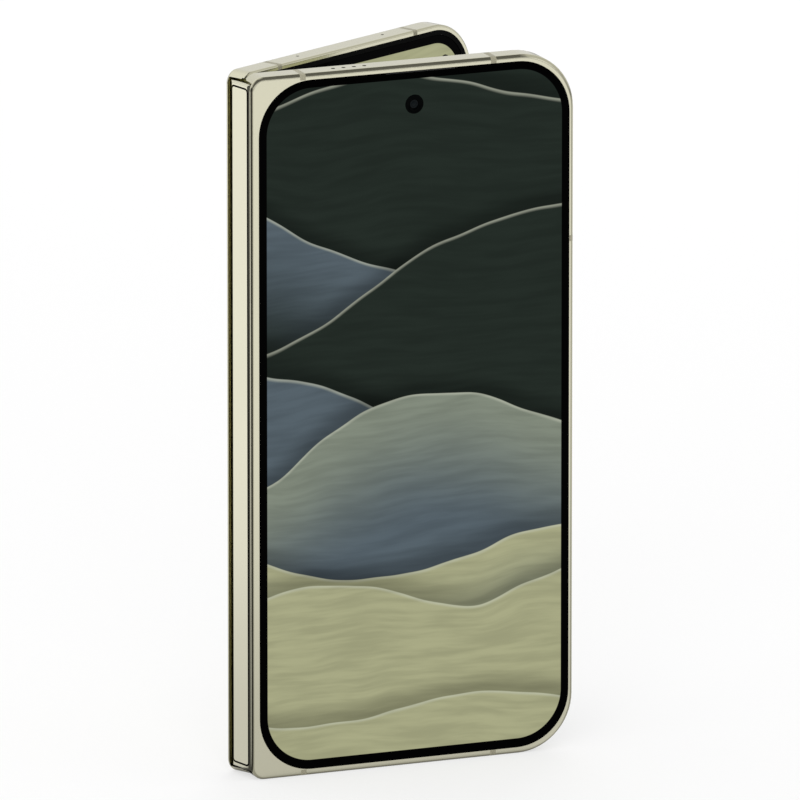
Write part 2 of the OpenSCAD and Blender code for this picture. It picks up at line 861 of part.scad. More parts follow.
module flash_led() {
    flash_r = 2;
    flash_t = 0.6;
    flash_block = 2.4;
    color([0.95, 0.9, 0.7]) in_rear_half() {
        stud(flash_x, window_zs[1], flash_r, window_back, window_back + flash_t);
        block(flash_x - flash_block, flash_x + flash_block, window_zs[1] - flash_block,
            window_zs[1] + flash_block, window_back + flash_t, oled_in);
    }
}

module charging_coil() {
    color([0.72, 0.45, 0.25]) in_rear_half() difference() {
        stud(usb_x, coil_z, coil_r, glass_in, floor_out + 0.2 - seat);
        stud(usb_x, coil_z, coil_hole_r, 0, half_t);
    }
}

module rear_battery() {
    color([0.2, 0.21, 0.23]) in_rear_half()
        pouch(inner_x0, battery_x1 - 1, rear_battery_z0, rear_battery_z1);
}

module logic_board() {
    color([0.1, 0.3, 0.2]) in_rear_half() {
        slab(inner_x0, rear_board_x1, rear_board_z0, island_z0 - 1, board_face - board_t, board_face, 1, 1);
        slab(inner_x0, island_x0 - 1, rear_board_z0, phone_h - 10, board_face - board_t, board_face, 1, 1);
    }
}

module rear_connectors() {
    low_z = rear_board_z0 + 1;
    mid_z = rear_board_z0 + 26;
    color([0.12, 0.12, 0.12]) in_rear_half() cable_plugs([
        [can_x0 + 2, low_z], [can_x1 - 10, low_z], [can_x0 + 2, mid_z], [can_split + 4, mid_z]
    ]);
}

// The small board behind the charging port, with its chip and the plug of its cable
module usb_board() {
    board_half = 7.6;
    board_z0 = usb_depth + usb_wall + usb_room + part_gap;
    chip = 3.2;
    chip_t = 0.9;
    color([0.1, 0.3, 0.2]) in_rear_half() {
        slab(usb_x - board_half, usb_x + board_half, board_z0, rear_battery_z0 - 8, board_face - board_t,
            board_face, 1, 1);
        block(usb_x - board_half + 2, usb_x - board_half + 2 + chip, board_z0 + 4, board_z0 + 4 + chip,
            board_face, board_face + chip_t);
        block(usb_x + 1, usb_x + 1 + 2 * chip, board_z0 + 7, board_z0 + 7 + chip / 2, board_face,
            board_face + chip_t);
    }
}

// Pressed covers over the chips, each as [low X, high X, low Z, high Z]
can_x0 = inner_x0 + 2.6;
can_x1 = rear_board_x1 - 7;
can_split = (can_x0 + can_x1) / 2;
can_wall = 0.2;
cans = [
    [can_x0, can_split - 2, rear_board_z0 + 4, rear_board_z0 + 24],
    [can_x0, island_x0 - 3.8, rear_board_z0 + 30, phone_h - 17],
    [can_split + 2, can_x1, rear_board_z0 + 4, rear_board_z0 + 24]
];

module shield_cans() {
    color([0.78, 0.78, 0.8]) in_rear_half() {
        for (can = cans) {
            difference() {
                block(can[0], can[1], can[2], can[3], board_face, mid_out - part_gap);
                block(can[0] + can_wall, can[1] - can_wall, can[2] + can_wall, can[3] - can_wall, 0,
                    mid_out - part_gap - can_wall);
            }
        }
    }
}

module usb_shell() {
    outer_w = usb_w + 2 * usb_wall;
    outer_h = usb_h + 2 * usb_wall;
    color([0.7, 0.7, 0.7]) in_rear_half() difference() {
        end_pill(usb_x, usb_set_in, usb_depth + usb_wall, outer_w, outer_h);
        end_pill(usb_x, 0, usb_depth, usb_w, usb_h);
    }
}

module usb_tongue() {
    blade_w = 6.7;
    blade_t = 0.7;
    root_t = 0.6;
    color([0.08, 0.08, 0.08]) in_rear_half() {
        block(usb_x - blade_w / 2, usb_x + blade_w / 2, 1.2, usb_depth - root_t, mid_level - blade_t / 2,
            mid_level + blade_t / 2);
        end_pill(usb_x, usb_depth - root_t, usb_depth, usb_w - 2 * seat, usb_h - 2 * seat);
    }
}

module speaker_module() {
    color([0.14, 0.14, 0.14]) in_rear_half() difference() {
        block(max(lower_speaker_xs[0] - 1.6, inner_x0), lower_speaker_xs[4] + 2, wall + seat,
            rear_battery_z0 - 8, floor_in + seat, mid_out - part_gap);
        for (x = lower_speaker_xs) {
            hole_up(x, speaker_hole_r, 0, wall + duct_deep);
        }
    }
}

module microphones() {
    mic_in = 0.5;
    color([0.76, 0.76, 0.76]) in_rear_half() {
        for (x = mic_xs) {
            difference() {
                block(x - mic_half, x + mic_half, phone_h - wall - mic_deep, phone_h - wall - seat,
                    floor_in + mic_in, mid_out - mic_in);
                hole_up(x, mic_r, phone_h - wall - duct_deep, phone_h);
            }
        }
        difference() {
            block(lower_mic_x - mic_half, lower_mic_x + mic_half, wall + seat, wall + mic_deep,
                floor_in + mic_in, mid_out - mic_in);
            hole_up(lower_mic_x, mic_r, 0, wall + duct_deep);
        }
    }
}

module haptic_motor() {
    motor_x0 = half_w - 22.2;
    motor_z0 = wall + mic_deep + part_gap;
    motor_w = 10;
    color([0.6, 0.6, 0.62]) in_rear_half() slab(motor_x0, motor_x0 + motor_w, motor_z0, motor_z0 + motor_w,
        floor_in + seat, mid_out - part_gap, 1, 1);
}

// Keys: the flange behind the wall, the room to rock and the domes that the keys press
flange_t = 0.4;
flange_lip = 0.7;
power_seat = wall_x - seat;
rock_gap = 0.25;
press_gap = 0.02;
key_edge = 0.15;
dome_r = 0.9;
flex_t = 0.3;
power_dome = power_seat - flange_t - key_travel - press_gap;
volume_dome = wall_x - rock_gap - flange_t - volume_len / 3 * sin(key_rock) - press_gap;
dome_h = 0.35;
flex_face = min(power_dome, volume_dome) - dome_h;

module key_switches() {
    color([0.75, 0.62, 0.4]) in_rear_half() {
        translate([flex_face, mid_level, power_z]) rotate([0, 90, 0])
            cylinder(h = power_dome - flex_face, r = dome_r);
        for (z = [volume_z - volume_len / 3, volume_z + volume_len / 3]) {
            translate([flex_face, mid_level, z]) rotate([0, 90, 0])
                cylinder(h = volume_dome - flex_face, r = dome_r);
        }
        block(flex_face - flex_t, flex_face, volume_z - volume_len / 2, power_z + power_len / 2,
            floor_in + seat, mid_out - seat);
    }
}

module inner_camera() {
    barrel_back = mid_out - 0.6;
    color([0.1, 0.1, 0.11]) in_rear_half() {
        stud(inner_cam_x, inner_cam_z, inner_cam_r, barrel_back, display_back);
        block(inner_cam_x - cam_block, inner_cam_x + cam_block, inner_cam_z - cam_block,
            inner_cam_z + cam_block, floor_in + part_gap, barrel_back);
    }
}

module rear_display_trim() {
    color([0.06, 0.06, 0.06]) in_rear_half() display_trim();
}

module inner_display_rear() {
    color([0.45, 0.46, 0.36]) in_rear_half() inner_panel();
}

module rear_hinge_arms() {
    color([0.62, 0.63, 0.65]) in_rear_half() hinge_arms();
}

module rear_screws() {
    color([0.55, 0.55, 0.57]) in_rear_half() half_screws(rear_bosses);
}

// A pill key: a low crown, its body in the slot and the flange that keeps it in
module key(z, len, flange_face) {
    crown = half_w + key_proud - key_edge;
    side_pill(crown, half_w + key_proud, z, len - 2 * key_edge, key_w - 2 * key_edge);
    side_pill(flange_face, crown, z, len, key_w);
    side_pill(flange_face - flange_t, flange_face, z, len + 2 * flange_lip,
        min(key_w + 2 * key_edge, room - 2 * seat));
}

module power_key() {
    color([0.82, 0.81, 0.71]) in_rear_half() key(power_z, power_len, power_seat);
}

module volume_key() {
    color([0.82, 0.81, 0.71]) in_rear_half() key(volume_z, volume_len, wall_x - rock_gap);
}

// The tray holds a 12.3 by 8.8 mm card on a narrow ledge, and its door has a pin hole
module sim_tray() {
    card_x0 = reader_x0 + 1.6;
    card_len = 12.5;
    card_w = 8.9;
    card_ledge = 0.9;
    door_set_in = 0.02;
    eject_r = 0.45;
    color([0.82, 0.81, 0.71]) in_front_half() difference() {
        union() {
            side_pill(half_w - door_t, half_w - door_set_in, tray_z, door_len, door_w);
            block(reader_x0 + 0.4, half_w - door_t, tray_z - tray_w / 2, tray_z + tray_w / 2, tray_low,
                tray_low + tray_t);
        }
        block(card_x0, card_x0 + card_len, tray_z - card_w / 2, tray_z + card_w / 2, tray_low + 0.25,
            half_t);
        block(card_x0 + card_ledge, card_x0 + card_len - card_ledge, tray_z - card_w / 2 + card_ledge,
            tray_z + card_w / 2 - card_ledge, 0, half_t);
        translate([half_w - door_t - cut, mid_level, tray_z + tray_w / 2 + 0.3]) rotate([0, 90, 0])
            cylinder(h = 2 * cut + door_t, r = eject_r);
    }
}

// Soft ring round the tray behind its door
module tray_seal() {
    ring_t = 0.3;
    ring_fit = 0.02;
    color([0.1, 0.1, 0.1]) in_front_half() difference() {
        side_pill(half_w - door_t - ring_t, half_w - door_t, tray_z, door_len - 2 * slot_clear,
            door_w - slot_clear);
        block(reader_x0, half_w, tray_z - tray_w / 2 - ring_fit, tray_z + tray_w / 2 + ring_fit,
            tray_low - ring_fit, tray_low + tray_t + ring_fit);
    }
}

// Section of the spine: a rounded trough about the two pins
module spine_section(r, back) {
    intersection() {
        union() {
            for (s = [-1, 1]) {
                translate([0, s * pin_offset]) circle(r = r);
            }
            translate([-r, -pin_offset]) square([2 * r, 2 * pin_offset]);
        }
        translate([-back, -pin_offset - r]) square([back - base_top + seat, 2 * pin_offset + 2 * r]);
    }
}

// A rounded rectangle facing along X, from level x0 to x1 in the spine
module spine_pad(x0, x1, w, z0, z1, r) {
    translate([x0, 0, 0]) rotate([90, 0, 90]) linear_extrude(height = x1 - x0)
        outline(-w / 2, w / 2, z0, z1, r, r);
}

channel_floor = spine_top - plate_t;
trough_floor = channel_floor - spine_wall;

// Section of the room inside the spine, flat at the back where the channel of the plate is
module trough_section() {
    intersection() {
        union() {
            for (s = [-1, 1]) {
                translate([0, s * pin_offset]) circle(r = spine_r - spine_wall);
            }
            translate([-spine_r, -pin_offset]) square([2 * spine_r, 2 * pin_offset]);
        }
        translate([-trough_floor, -2 * spine_r]) square([spine_r + trough_floor, 4 * spine_r]);
    }
}

module spine_cover() {
    color([0.84, 0.83, 0.73]) in_spine() difference() {
        translate([0, 0, spine_low]) linear_extrude(height = spine_high - spine_low)
            spine_section(spine_r, spine_top);
        translate([0, 0, spine_low + spine_wall])
            linear_extrude(height = spine_high - spine_low - 2 * spine_wall) trough_section();
        spine_pad(-spine_top - cut, -channel_floor, plate_w + 2 * plate_groove, spine_low + rim_end,
            spine_high - rim_end, channel_corner);
        spine_end_round();
        translate([0, 0, phone_h]) mirror([0, 0, 1]) spine_end_round();
        for (z = module_zs) {
            for (s = [-1, 1]) {
                translate([-channel_floor, 0, z + s * module_len / 4]) rotate([0, 90, 0])
                    cylinder(h = spine_wall + cut, r = screw_r);
            }
        }
    }
}

// What rounds the edge between the back and the top end of the spine
module spine_end_round() {
    reach = 2 * (pin_offset + spine_r);
    difference() {
        translate([-spine_top - cut, -reach / 2, spine_high - rim_round])
            cube([cut + rim_round, reach, rim_round + cut]);
        translate([-spine_top + rim_round, -reach / 2 - cut, spine_high - rim_round])
            rotate([-90, 0, 0]) cylinder(h = reach + 2 * cut, r = rim_round);
    }
}

module spine_plate() {
    color([0.88, 0.88, 0.8]) in_spine() spine_pad(-spine_top, -channel_floor, plate_w,
        spine_low + rim_end + plate_groove, spine_high - rim_end - plate_groove, plate_corner);
}

// Soft seal in the bottom of the groove round the spine plate
module plate_seal() {
    seal_t = 0.2;
    fit = 0.02;
    seal_edge = rim_end + fit;
    hole_edge = rim_end + plate_groove - fit;
    color([0.05, 0.05, 0.05]) in_spine() difference() {
        spine_pad(-channel_floor - seal_t, -channel_floor, plate_w + 2 * (plate_groove - fit),
            spine_low + seal_edge, spine_high - seal_edge, channel_corner - fit);
        spine_pad(-spine_top - cut, 0, plate_w + 2 * fit, spine_low + hole_edge, spine_high - hole_edge,
            plate_corner + fit);
    }
}

// Each bracket is a base in the trough with three lugs at each pin
module hinge_brackets() {
    base_w = 2 * (pin_offset + eye_r);
    color([0.6, 0.61, 0.63]) in_spine() {
        for (z = module_zs) {
            difference() {
                union() {
                    translate([-trough_floor, -base_w / 2, z - module_len / 2])
                        cube([trough_floor - base_top, base_w, module_len]);
                    for (l = lug_zs) {
                        for (s = [-1, 1]) {
                            translate([-base_top - seat, s * pin_offset - eye_r, z + l - lug_w / 2])
                                cube([base_top + seat, 2 * eye_r, lug_w]);
                            translate([0, s * pin_offset, z + l - lug_w / 2]) cylinder(h = lug_w, r = eye_r);
                        }
                    }
                }
                for (s = [-1, 1]) {
                    translate([0, s * pin_offset, z - module_len])
                        cylinder(h = 2 * module_len, r = pin_r + pin_clear);
                    translate([-trough_floor - cut, 0, z + s * module_len / 4]) rotate([0, 90, 0])
                        cylinder(h = spine_top, r = screw_r);
                }
            }
        }
    }
}

// Each pin has a flat head under its lowest lug and runs on through the washers and the nut
module hinge_pins() {
    pin_over = 2 * washer_t + nut_t + thread_over;
    color([0.78, 0.78, 0.8]) in_spine() {
        for (z = module_zs) {
            for (s = [-1, 1]) {
                translate([0, s * pin_offset, z - module_len / 2 - pin_head_t]) {
                    cylinder(h = pin_head_t, r = eye_r);
                    cylinder(h = module_len + pin_head_t + pin_over, r = pin_r);
                }
            }
        }
    }
}

// Two dished washers, set face to face, and the nut that loads them and holds the fold's friction
module pin_nuts() {
    dish_r = 0.48;
    fit = 0.02;
    color([0.7, 0.7, 0.72]) in_spine() {
        for (z = module_zs) {
            for (s = [-1, 1]) {
                translate([0, s * pin_offset, z + module_len / 2]) difference() {
                    union() {
                        cylinder(h = washer_t, r1 = dish_r, r2 = eye_r);
                        translate([0, 0, washer_t]) cylinder(h = washer_t, r1 = eye_r, r2 = dish_r);
                        translate([0, 0, 2 * washer_t]) cylinder(h = nut_t, r = nut_r, $fn = 6);
                    }
                    translate([0, 0, -cut]) cylinder(h = 4 * cut, r = pin_r + fit);
                }
            }
        }
    }
}

module bracket_screws() {
    shank = channel_floor - seat - base_top;
    color([0.5, 0.5, 0.52]) in_spine() {
        for (z = module_zs) {
            for (s = [-1, 1]) {
                translate([seat - channel_floor, 0, z + s * module_len / 4]) rotate([0, 90, 0]) {
                    cylinder(h = shank, r = screw_r);
                    translate([0, 0, shank]) cylinder(h = arm_head_t, r = arm_head_r - seat);
                }
            }
        }
    }
}

// The free part of the inner display, which rolls round between the two bonded panels.
// Its section is a ring sector between the two straight tails that run up to the panels.
fold_r = 0.7;
fold_tail = 0.05;
reach_x = (bond_x - pin_x) * cos(half_angle) + (display_face - pin_t) * sin(half_angle);
reach_y = pin_offset + (bond_x - pin_x) * sin(half_angle) - (display_face - pin_t) * cos(half_angle);
fold_x = reach_x - (reach_y * cos(half_angle) - fold_r) / sin(half_angle);
tail_len = reach_y * sin(half_angle) + (reach_x - fold_x) * cos(half_angle) - fold_tail;

module display_fold() {
    edge = inner_lip + trim_w;
    color([0.42, 0.43, 0.34]) in_spine() translate([fold_x, 0, edge])
        linear_extrude(height = phone_h - 2 * edge) fold_section();
}

module fold_section() {
    mouth = 4 * fold_r;
    difference() {
        circle(r = fold_r + inner_oled_t);
        circle(r = fold_r);
        rotate(half_angle) translate([0, -mouth]) square(mouth);
        rotate(-half_angle) square(mouth);
    }
    rotate(half_angle) translate([0, fold_r]) square([tail_len, inner_oled_t]);
    rotate(-half_angle) translate([0, -fold_r - inner_oled_t]) square([tail_len, inner_oled_t]);
}

spine_cover();
spine_plate();
plate_seal();
hinge_brackets();
hinge_pins();
pin_nuts();
bracket_screws();
display_fold();
front_frame();
front_antenna_breaks();
front_mid_plate();
cover_glass();
cover_display();
cover_camera();
earpiece();
front_battery();
front_board();
front_connectors();
front_display_trim();
inner_display_front();
front_hinge_arms();
front_screws();
sim_reader();
front_magnets();
rear_frame();
rear_antenna_breaks();
rear_mid_plate();
back_glass();
camera_island();
camera_windows();
camera_modules();
flash_led();
charging_coil();
rear_battery();
logic_board();
shield_cans();
rear_connectors();
rear_magnets();
usb_board();
usb_shell();
usb_tongue();
speaker_module();
microphones();
haptic_motor();
key_switches();
inner_camera();
rear_display_trim();
inner_display_rear();
rear_hinge_arms();
rear_screws();
power_key();
volume_key();
sim_tray();
tray_seal();
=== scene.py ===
"""Finish and fine pieces of a folding phone that stands a little open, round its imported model."""

import json
import math

import bmesh
import bpy
from mathutils import Matrix, Vector
from mathutils.geometry import tessellate_polygon


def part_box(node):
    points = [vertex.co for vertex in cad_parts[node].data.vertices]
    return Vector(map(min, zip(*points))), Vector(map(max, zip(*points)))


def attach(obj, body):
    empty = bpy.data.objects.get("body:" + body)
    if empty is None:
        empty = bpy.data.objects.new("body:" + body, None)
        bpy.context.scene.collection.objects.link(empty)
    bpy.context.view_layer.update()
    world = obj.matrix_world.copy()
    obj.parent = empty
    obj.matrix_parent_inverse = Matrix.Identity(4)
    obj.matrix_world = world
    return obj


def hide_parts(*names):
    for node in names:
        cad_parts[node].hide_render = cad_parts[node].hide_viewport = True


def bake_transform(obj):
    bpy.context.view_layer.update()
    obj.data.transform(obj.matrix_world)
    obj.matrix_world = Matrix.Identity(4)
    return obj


bl_info = {
    "name": "Folding phone workshop",
    "version": (1, 0, 0),
    "blender": (4, 5, 0),
    "location": "View3D > Sidebar > Phone",
    "description": "Dresses the metalwork and makes the glass, screens, lenses and small parts",
    "category": "Object",
}

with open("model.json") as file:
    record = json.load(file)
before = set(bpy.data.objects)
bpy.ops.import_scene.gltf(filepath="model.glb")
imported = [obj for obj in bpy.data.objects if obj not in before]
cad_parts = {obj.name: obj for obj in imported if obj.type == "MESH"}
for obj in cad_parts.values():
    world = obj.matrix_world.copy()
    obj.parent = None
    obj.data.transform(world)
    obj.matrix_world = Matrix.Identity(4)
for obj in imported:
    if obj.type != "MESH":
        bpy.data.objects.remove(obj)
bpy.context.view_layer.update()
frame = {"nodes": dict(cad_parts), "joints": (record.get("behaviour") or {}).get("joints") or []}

MM = 0.001

# Places, in millimetres, worked out from the frame
JOINTS = {joint["name"]: joint for joint in frame["joints"]}
FRONT_PIN = Vector(JOINTS["front_fold"]["pos_m"]) / MM
REAR_PIN = Vector(JOINTS["rear_fold"]["pos_m"]) / MM
SHUT_DEG, FLAT_DEG = JOINTS["front_fold"]["range_deg"]
LEAN = math.radians(-SHUT_DEG)
PIN_REACH = (REAR_PIN - FRONT_PIN).length / 2
FRAME_LOW, FRAME_HIGH = (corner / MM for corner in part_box("front_frame"))
PIN_X, PIN_T, _ = FRONT_PIN - FRAME_LOW
HALF_W, HALF_T, PHONE_H = FRAME_HIGH - FRAME_LOW
FLAT_GAP = 2 * (PIN_REACH - PIN_X)


def in_half(node):
    """Lowest and highest corners of a node of the front half, from the low corner of its frame."""
    low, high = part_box(node)
    return low / MM - FRAME_LOW, high / MM - FRAME_LOW


(GLASS_X0, GLASS_OUT, GLASS_Z0), (GLASS_X1, GLASS_IN, GLASS_Z1) = in_half("cover_glass")
(PANEL_X0, PANEL_BACK, PANEL_Z0), (PANEL_X1, PANEL_FACE, PANEL_Z1) = in_half("inner_display_front")

# Sound openings, in millimetres from the hinge edge
HOLE_PITCH = 2.4
TOP_SPEAKERS = [19.9 + i * HOLE_PITCH for i in range(4)]
LOWER_SPEAKERS = [HALF_W / 2 - 20.6 + i * HOLE_PITCH for i in range(5)]
TOP_MICS = [20.5, HALF_W - 26.5]
LOWER_MICS = [HALF_W / 2 + 10.9]
SPEAKER_R = 0.45
MIC_R = 0.35
SLIT_X0, SLIT_X1, SLIT_DEEP = 31, 47, 0.35


def at_foot(pin):
    """The pin's place at the level of the foot, in metres."""
    return Matrix.Translation(Vector((pin.x, pin.y, 0)) * MM)


# A half is drawn with X from its hinge edge, Y from its outer face and Z from the foot. The spine is
# drawn about the point midway between its pins, with X towards the halves and Y to the rear.
FRONT = at_foot(FRONT_PIN) @ Matrix.Scale(MM, 4) @ Matrix.Translation((-PIN_X, -PIN_T, 0))
REAR = (
    at_foot(REAR_PIN)
    @ Matrix.Rotation(2 * LEAN, 4, "Z")
    @ Matrix.Scale(MM, 4)
    @ Matrix.Diagonal((1, -1, 1, 1))
    @ Matrix.Translation((-PIN_X, -PIN_T, 0))
)
SPINE = (
    at_foot(FRONT_PIN)
    @ Matrix.Rotation(LEAN, 4, "Z")
    @ Matrix.Scale(MM, 4)
    @ Matrix.Translation((0, PIN_REACH, 0))
)


def solids(node, place):
    """Lowest and highest corners of each separate solid of a node, in its body's own millimetres."""
    mesh = frame["nodes"][node].data
    back = place.inverted()
    spots = [tuple(round(c, 3) for c in back @ vertex.co) for vertex in mesh.vertices]
    lead = {spot: spot for spot in spots}

    def first(spot):
        while lead[spot] != spot:
            spot = lead[spot]
        return spot

    for edge in mesh.edges:
        a, b = (first(spots[i]) for i in edge.vertices)
        lead[a] = b
    groups = {}
    for spot in set(spots):
        groups.setdefault(first(spot), []).append(spot)
    boxes = [(Vector(map(min, zip(*group))), Vector(map(max, zip(*group)))) for group in groups.values()]
    return sorted(boxes, key=lambda box: (round(box[0].z), box[0].x))


def middle(box):
    return (box[0] + box[1]) / 2


def paint(red, green, blue):
    """A colour written as 0 to 255 on a screen, as Blender's linear values."""
    return tuple(
        c / 255 / 12.92 if c < 11 else ((c / 255 + 0.055) / 1.055) ** 2.4 for c in (red, green, blue)
    )


def colour_prop(name, description, red, green, blue):
    return bpy.props.FloatVectorProperty(
        name=name, description=description, subtype="COLOR", min=0, max=1,
        default=paint(red, green, blue),
    )


def length_prop(name, description, millimetres):
    return bpy.props.FloatProperty(
        name=name, description=description, subtype="DISTANCE", unit="LENGTH", min=0,
        default=millimetres * MM,
    )


class PhoneFinish(bpy.types.PropertyGroup):
    """Colours of the outside."""

    frame_metal: colour_prop("Frame metal", "Polished metal of both frames", 220, 217, 193)
    spine_metal: colour_prop("Spine metal", "Polished metal of the hinge spine", 232, 229, 206)
    # Colour of the painted dark reflection along the rounded edges of the metal
    painted_edge_tone: colour_prop("Edge tone", "Deep tone on the rounded edges of the metal", 92, 88, 58)
    back_tint: colour_prop("Back glass", "Frosted glass of the back", 214, 212, 190)
    break_tone: colour_prop("Antenna breaks", "Moulded strips across the frames", 158, 154, 132)
    border: colour_prop("Screen border", "Print round the lit area under the glass", 1, 1, 1)


class PhonePicture(bpy.types.PropertyGroup):
    """Colours of the ribbons that the screens show."""

    deep: colour_prop("Deep green", "Darkest ribbons, at the top", 34, 42, 37)
    slate: colour_prop("Slate", "Blue-grey ribbons in the middle", 82, 94, 102)
    mist: colour_prop("Mist", "Grey-green ribbons between slate and sage", 126, 134, 120)
    sage: colour_prop("Sage", "Light ribbons, at the foot", 162, 163, 128)
    thread: colour_prop("Thread", "Thin pale line along each ribbon", 190, 194, 176)


class PhoneScreens(bpy.types.PropertyGroup):
    """Sizes of the lit areas and the glass."""

    side_border: length_prop("Side border", "Black border beside the cover screen's lit area", 1.8)
    top_border: length_prop("Top border", "Black border over the lit area", 1.75)
    foot_border: length_prop("Foot border", "Black border under the lit area", 2.05)
    lit_corner: length_prop("Lit corner", "Corner radius of the cover screen's lit area", 10.2)
    glass_corner: length_prop("Glass corner", "Corner radius of the cover glass", 12)
    glass_round: length_prop("Glass edge", "Rounding along the edge of the cover glass", 0.16)
    eye_hole: length_prop("Camera hole", "Radius of the hole for the cover camera", 2.13)
    inner_border: length_prop("Inner border", "Black border round the inner screen", 1.85)
    inner_corner: length_prop("Inner corner", "Corner radius of the inner lit area", 8.4)
    inner_eye: length_prop("Inner eye", "Radius of the hole in the inner screen for its camera", 1.75)
    fold_sheet: length_prop("Fold sheet", "Thickness of the part of the inner screen that bends", 0.35)


class PhoneCameras(bpy.types.PropertyGroup):
    """Sizes of the lenses."""

    ring: length_prop("Ring", "Outer radius of the ring round a rear lens", 4.3)
    ring_wall: length_prop("Ring wall", "Width of the polished ring", 0.45)
    front_glass: length_prop("Front glass", "Radius of the domed glass of a rear lens", 2.5)
    flash: length_prop("Flash", "Radius of the flash lens", 1.9)


GROUPS = {
    "phone_finish": PhoneFinish,
    "phone_picture": PhonePicture,
    "phone_screens": PhoneScreens,
    "phone_cameras": PhoneCameras,
}


def settings(name):
    """The group of settings of that name, as the panel shows it."""
    return getattr(bpy.context.scene, "phone_" + name)


# Shapes


def arc(x, z, radius, start, turn, steps):
    """Points of a round stretch about (x, z), angles in degrees."""
    points = []
    for i in range(steps + 1):
        angle = math.radians(start + turn * i / steps)
        points.append((x + radius * math.cos(angle), z + radius * math.sin(angle)))
    return points


def circle(x, z, radius, steps=48):
    return arc(x, z, radius, 0, 360, steps)[:-1]


def dome(radius, base, rise, steps, way=1):
    """Half the profile of a dome, as (radius, level) pairs from its rim nearly to its top."""
    return [(radius * c, base - way * rise * s) for c, s in arc(0, 0, 1, 0, 90, steps)[:-1]]


def soft_edge(outline, back, face, edge, steps):
    """Loops from the back to the face with a quarter round at the face; outline(inset) draws them."""
    turns = arc(0, 0, 1, 0, 90, steps)
    return [(outline(0), back), *((outline(edge * (1 - c)), face + edge * (1 - s)) for c, s in turns)]


def rounded(x0, x1, z0, z1, near, far, steps=24):
    """A rectangle with corner radius near at its low-X side and far at its high-X side."""
    return (
        arc(x0 + near, z0 + near, near, 180, 90, steps)
        + arc(x1 - far, z0 + far, far, 270, 90, steps)
        + arc(x1 - far, z1 - far, far, 0, 90, steps)
        + arc(x0 + near, z1 - near, near, 90, 90, steps)
    )


class Shell:
    """Points and faces of one piece, in millimetres in the frame of the body that carries it."""

    def __init__(self, place, along="thickness"):
        self.place = place
        self.along = along
        self.points = []
        self.faces = []
        self.spread = []

    def ring(self, outline, level):
        """A closed loop of points at one level, through the thickness or up the height."""
        first = len(self.points)
        if self.along == "thickness":
            self.points += [(x, level, z) for x, z in outline]
        else:
            self.points += [(x, t, level) for x, t in outline]
        return list(range(first, len(self.points)))

    def wall(self, low, high):
        """A band of faces between two loops of the same count."""
        count = len(low)
        for i in range(count):
            after = (i + 1) % count
            self.faces.append((low[i], low[after], high[after], high[i]))

    def cap(self, outer, holes=()):
        """Closes a loop, with a hole left for each loop in holes."""
        loops = [outer, *holes]
        flat = [i for loop in loops for i in loop]
        drop = 1 if self.along == "thickness" else 2
        outlines = [
            [Vector([c for axis, c in enumerate(self.points[i]) if axis != drop] + [0]) for i in loop]
            for loop in loops
        ]
        for corners in tessellate_polygon(outlines):
            self.faces.append(tuple(flat[k] for k in corners))

    def band(self, outlines_and_levels):
        """A stack of loops joined by bands; gives back the first and the last loop."""
        rings = [self.ring(outline, level) for outline, level in outlines_and_levels]
        for low, high in zip(rings, rings[1:]):
            self.wall(low, high)
        return rings[0], rings[-1]

    def solid(self, outlines_and_levels):
        """A stack of loops joined by bands and closed at both ends."""
        for loop in self.band(outlines_and_levels):
            self.cap(loop)

    def turned(self, x, z, profile, steps=48):
        """A round piece about the line (x, z), from (radius, level) pairs, closed at both ends."""
        self.solid([(circle(x, z, radius, steps), level) for radius, level in profile])

    def tube(self, x, z, profile, steps=48):
        """A round ring with a hole through it, from (radius, level) pairs in a closed loop."""
        first, last = self.band([(circle(x, z, radius, steps), level) for radius, level in profile])
        self.wall(last, first)

    def box(self, x0, x1, t0, t1, z0, z1, soft):
        """A block with its long edges rounded by soft, seen along the thickness."""
        steps = 3
        self.solid([(rounded(x0, x1, z0, z1, soft, soft, steps), t) for t in (t0, t1)])

    def make(self, name, material, body, stands_for=()):
        """Makes the mesh object and hangs it on its body."""
        mesh = bpy.data.meshes.new(name)
        mesh.from_pydata([self.place @ Vector(point) for point in self.points], [], self.faces)
        if self.spread:
            store_place(mesh, [c * MM for spot in self.spread for c in spot])
        work = bmesh.new()
        work.from_mesh(mesh)
        bmesh.ops.remove_doubles(work, verts=work.verts, dist=MM * 1e-4)
        bmesh.ops.recalc_face_normals(work, faces=work.faces)
        work.to_mesh(mesh)
        work.free()
        smooth(mesh)
        piece = bpy.data.objects.new(name, mesh)
        bpy.context.scene.collection.objects.link(piece)
        mesh.materials.append(material)
        if body:
            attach(piece, body)
        if stands_for:
            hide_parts(*stands_for)
        return piece


def smooth(mesh):
    """Smooth shading with creases kept sharp."""
    crease = 32
    mesh.shade_smooth()
    mesh.set_sharp_from_angle(angle=math.radians(crease))


def mark_place(piece, place, across, up):
    """Stores where each point lies on its screen: across and up, in metres."""
    back = place.inverted()
    values = []
    for vertex in piece.data.vertices:
        spot = back @ vertex.co
        values += [across(spot.x) * MM, up(spot.z) * MM, 0]
    store_place(piece.data, values)


def store_place(mesh, values):
    attribute = mesh.attributes.new("screen_place", "FLOAT_VECTOR", "POINT")
    attribute.data.foreach_set("vector", values)


# Materials


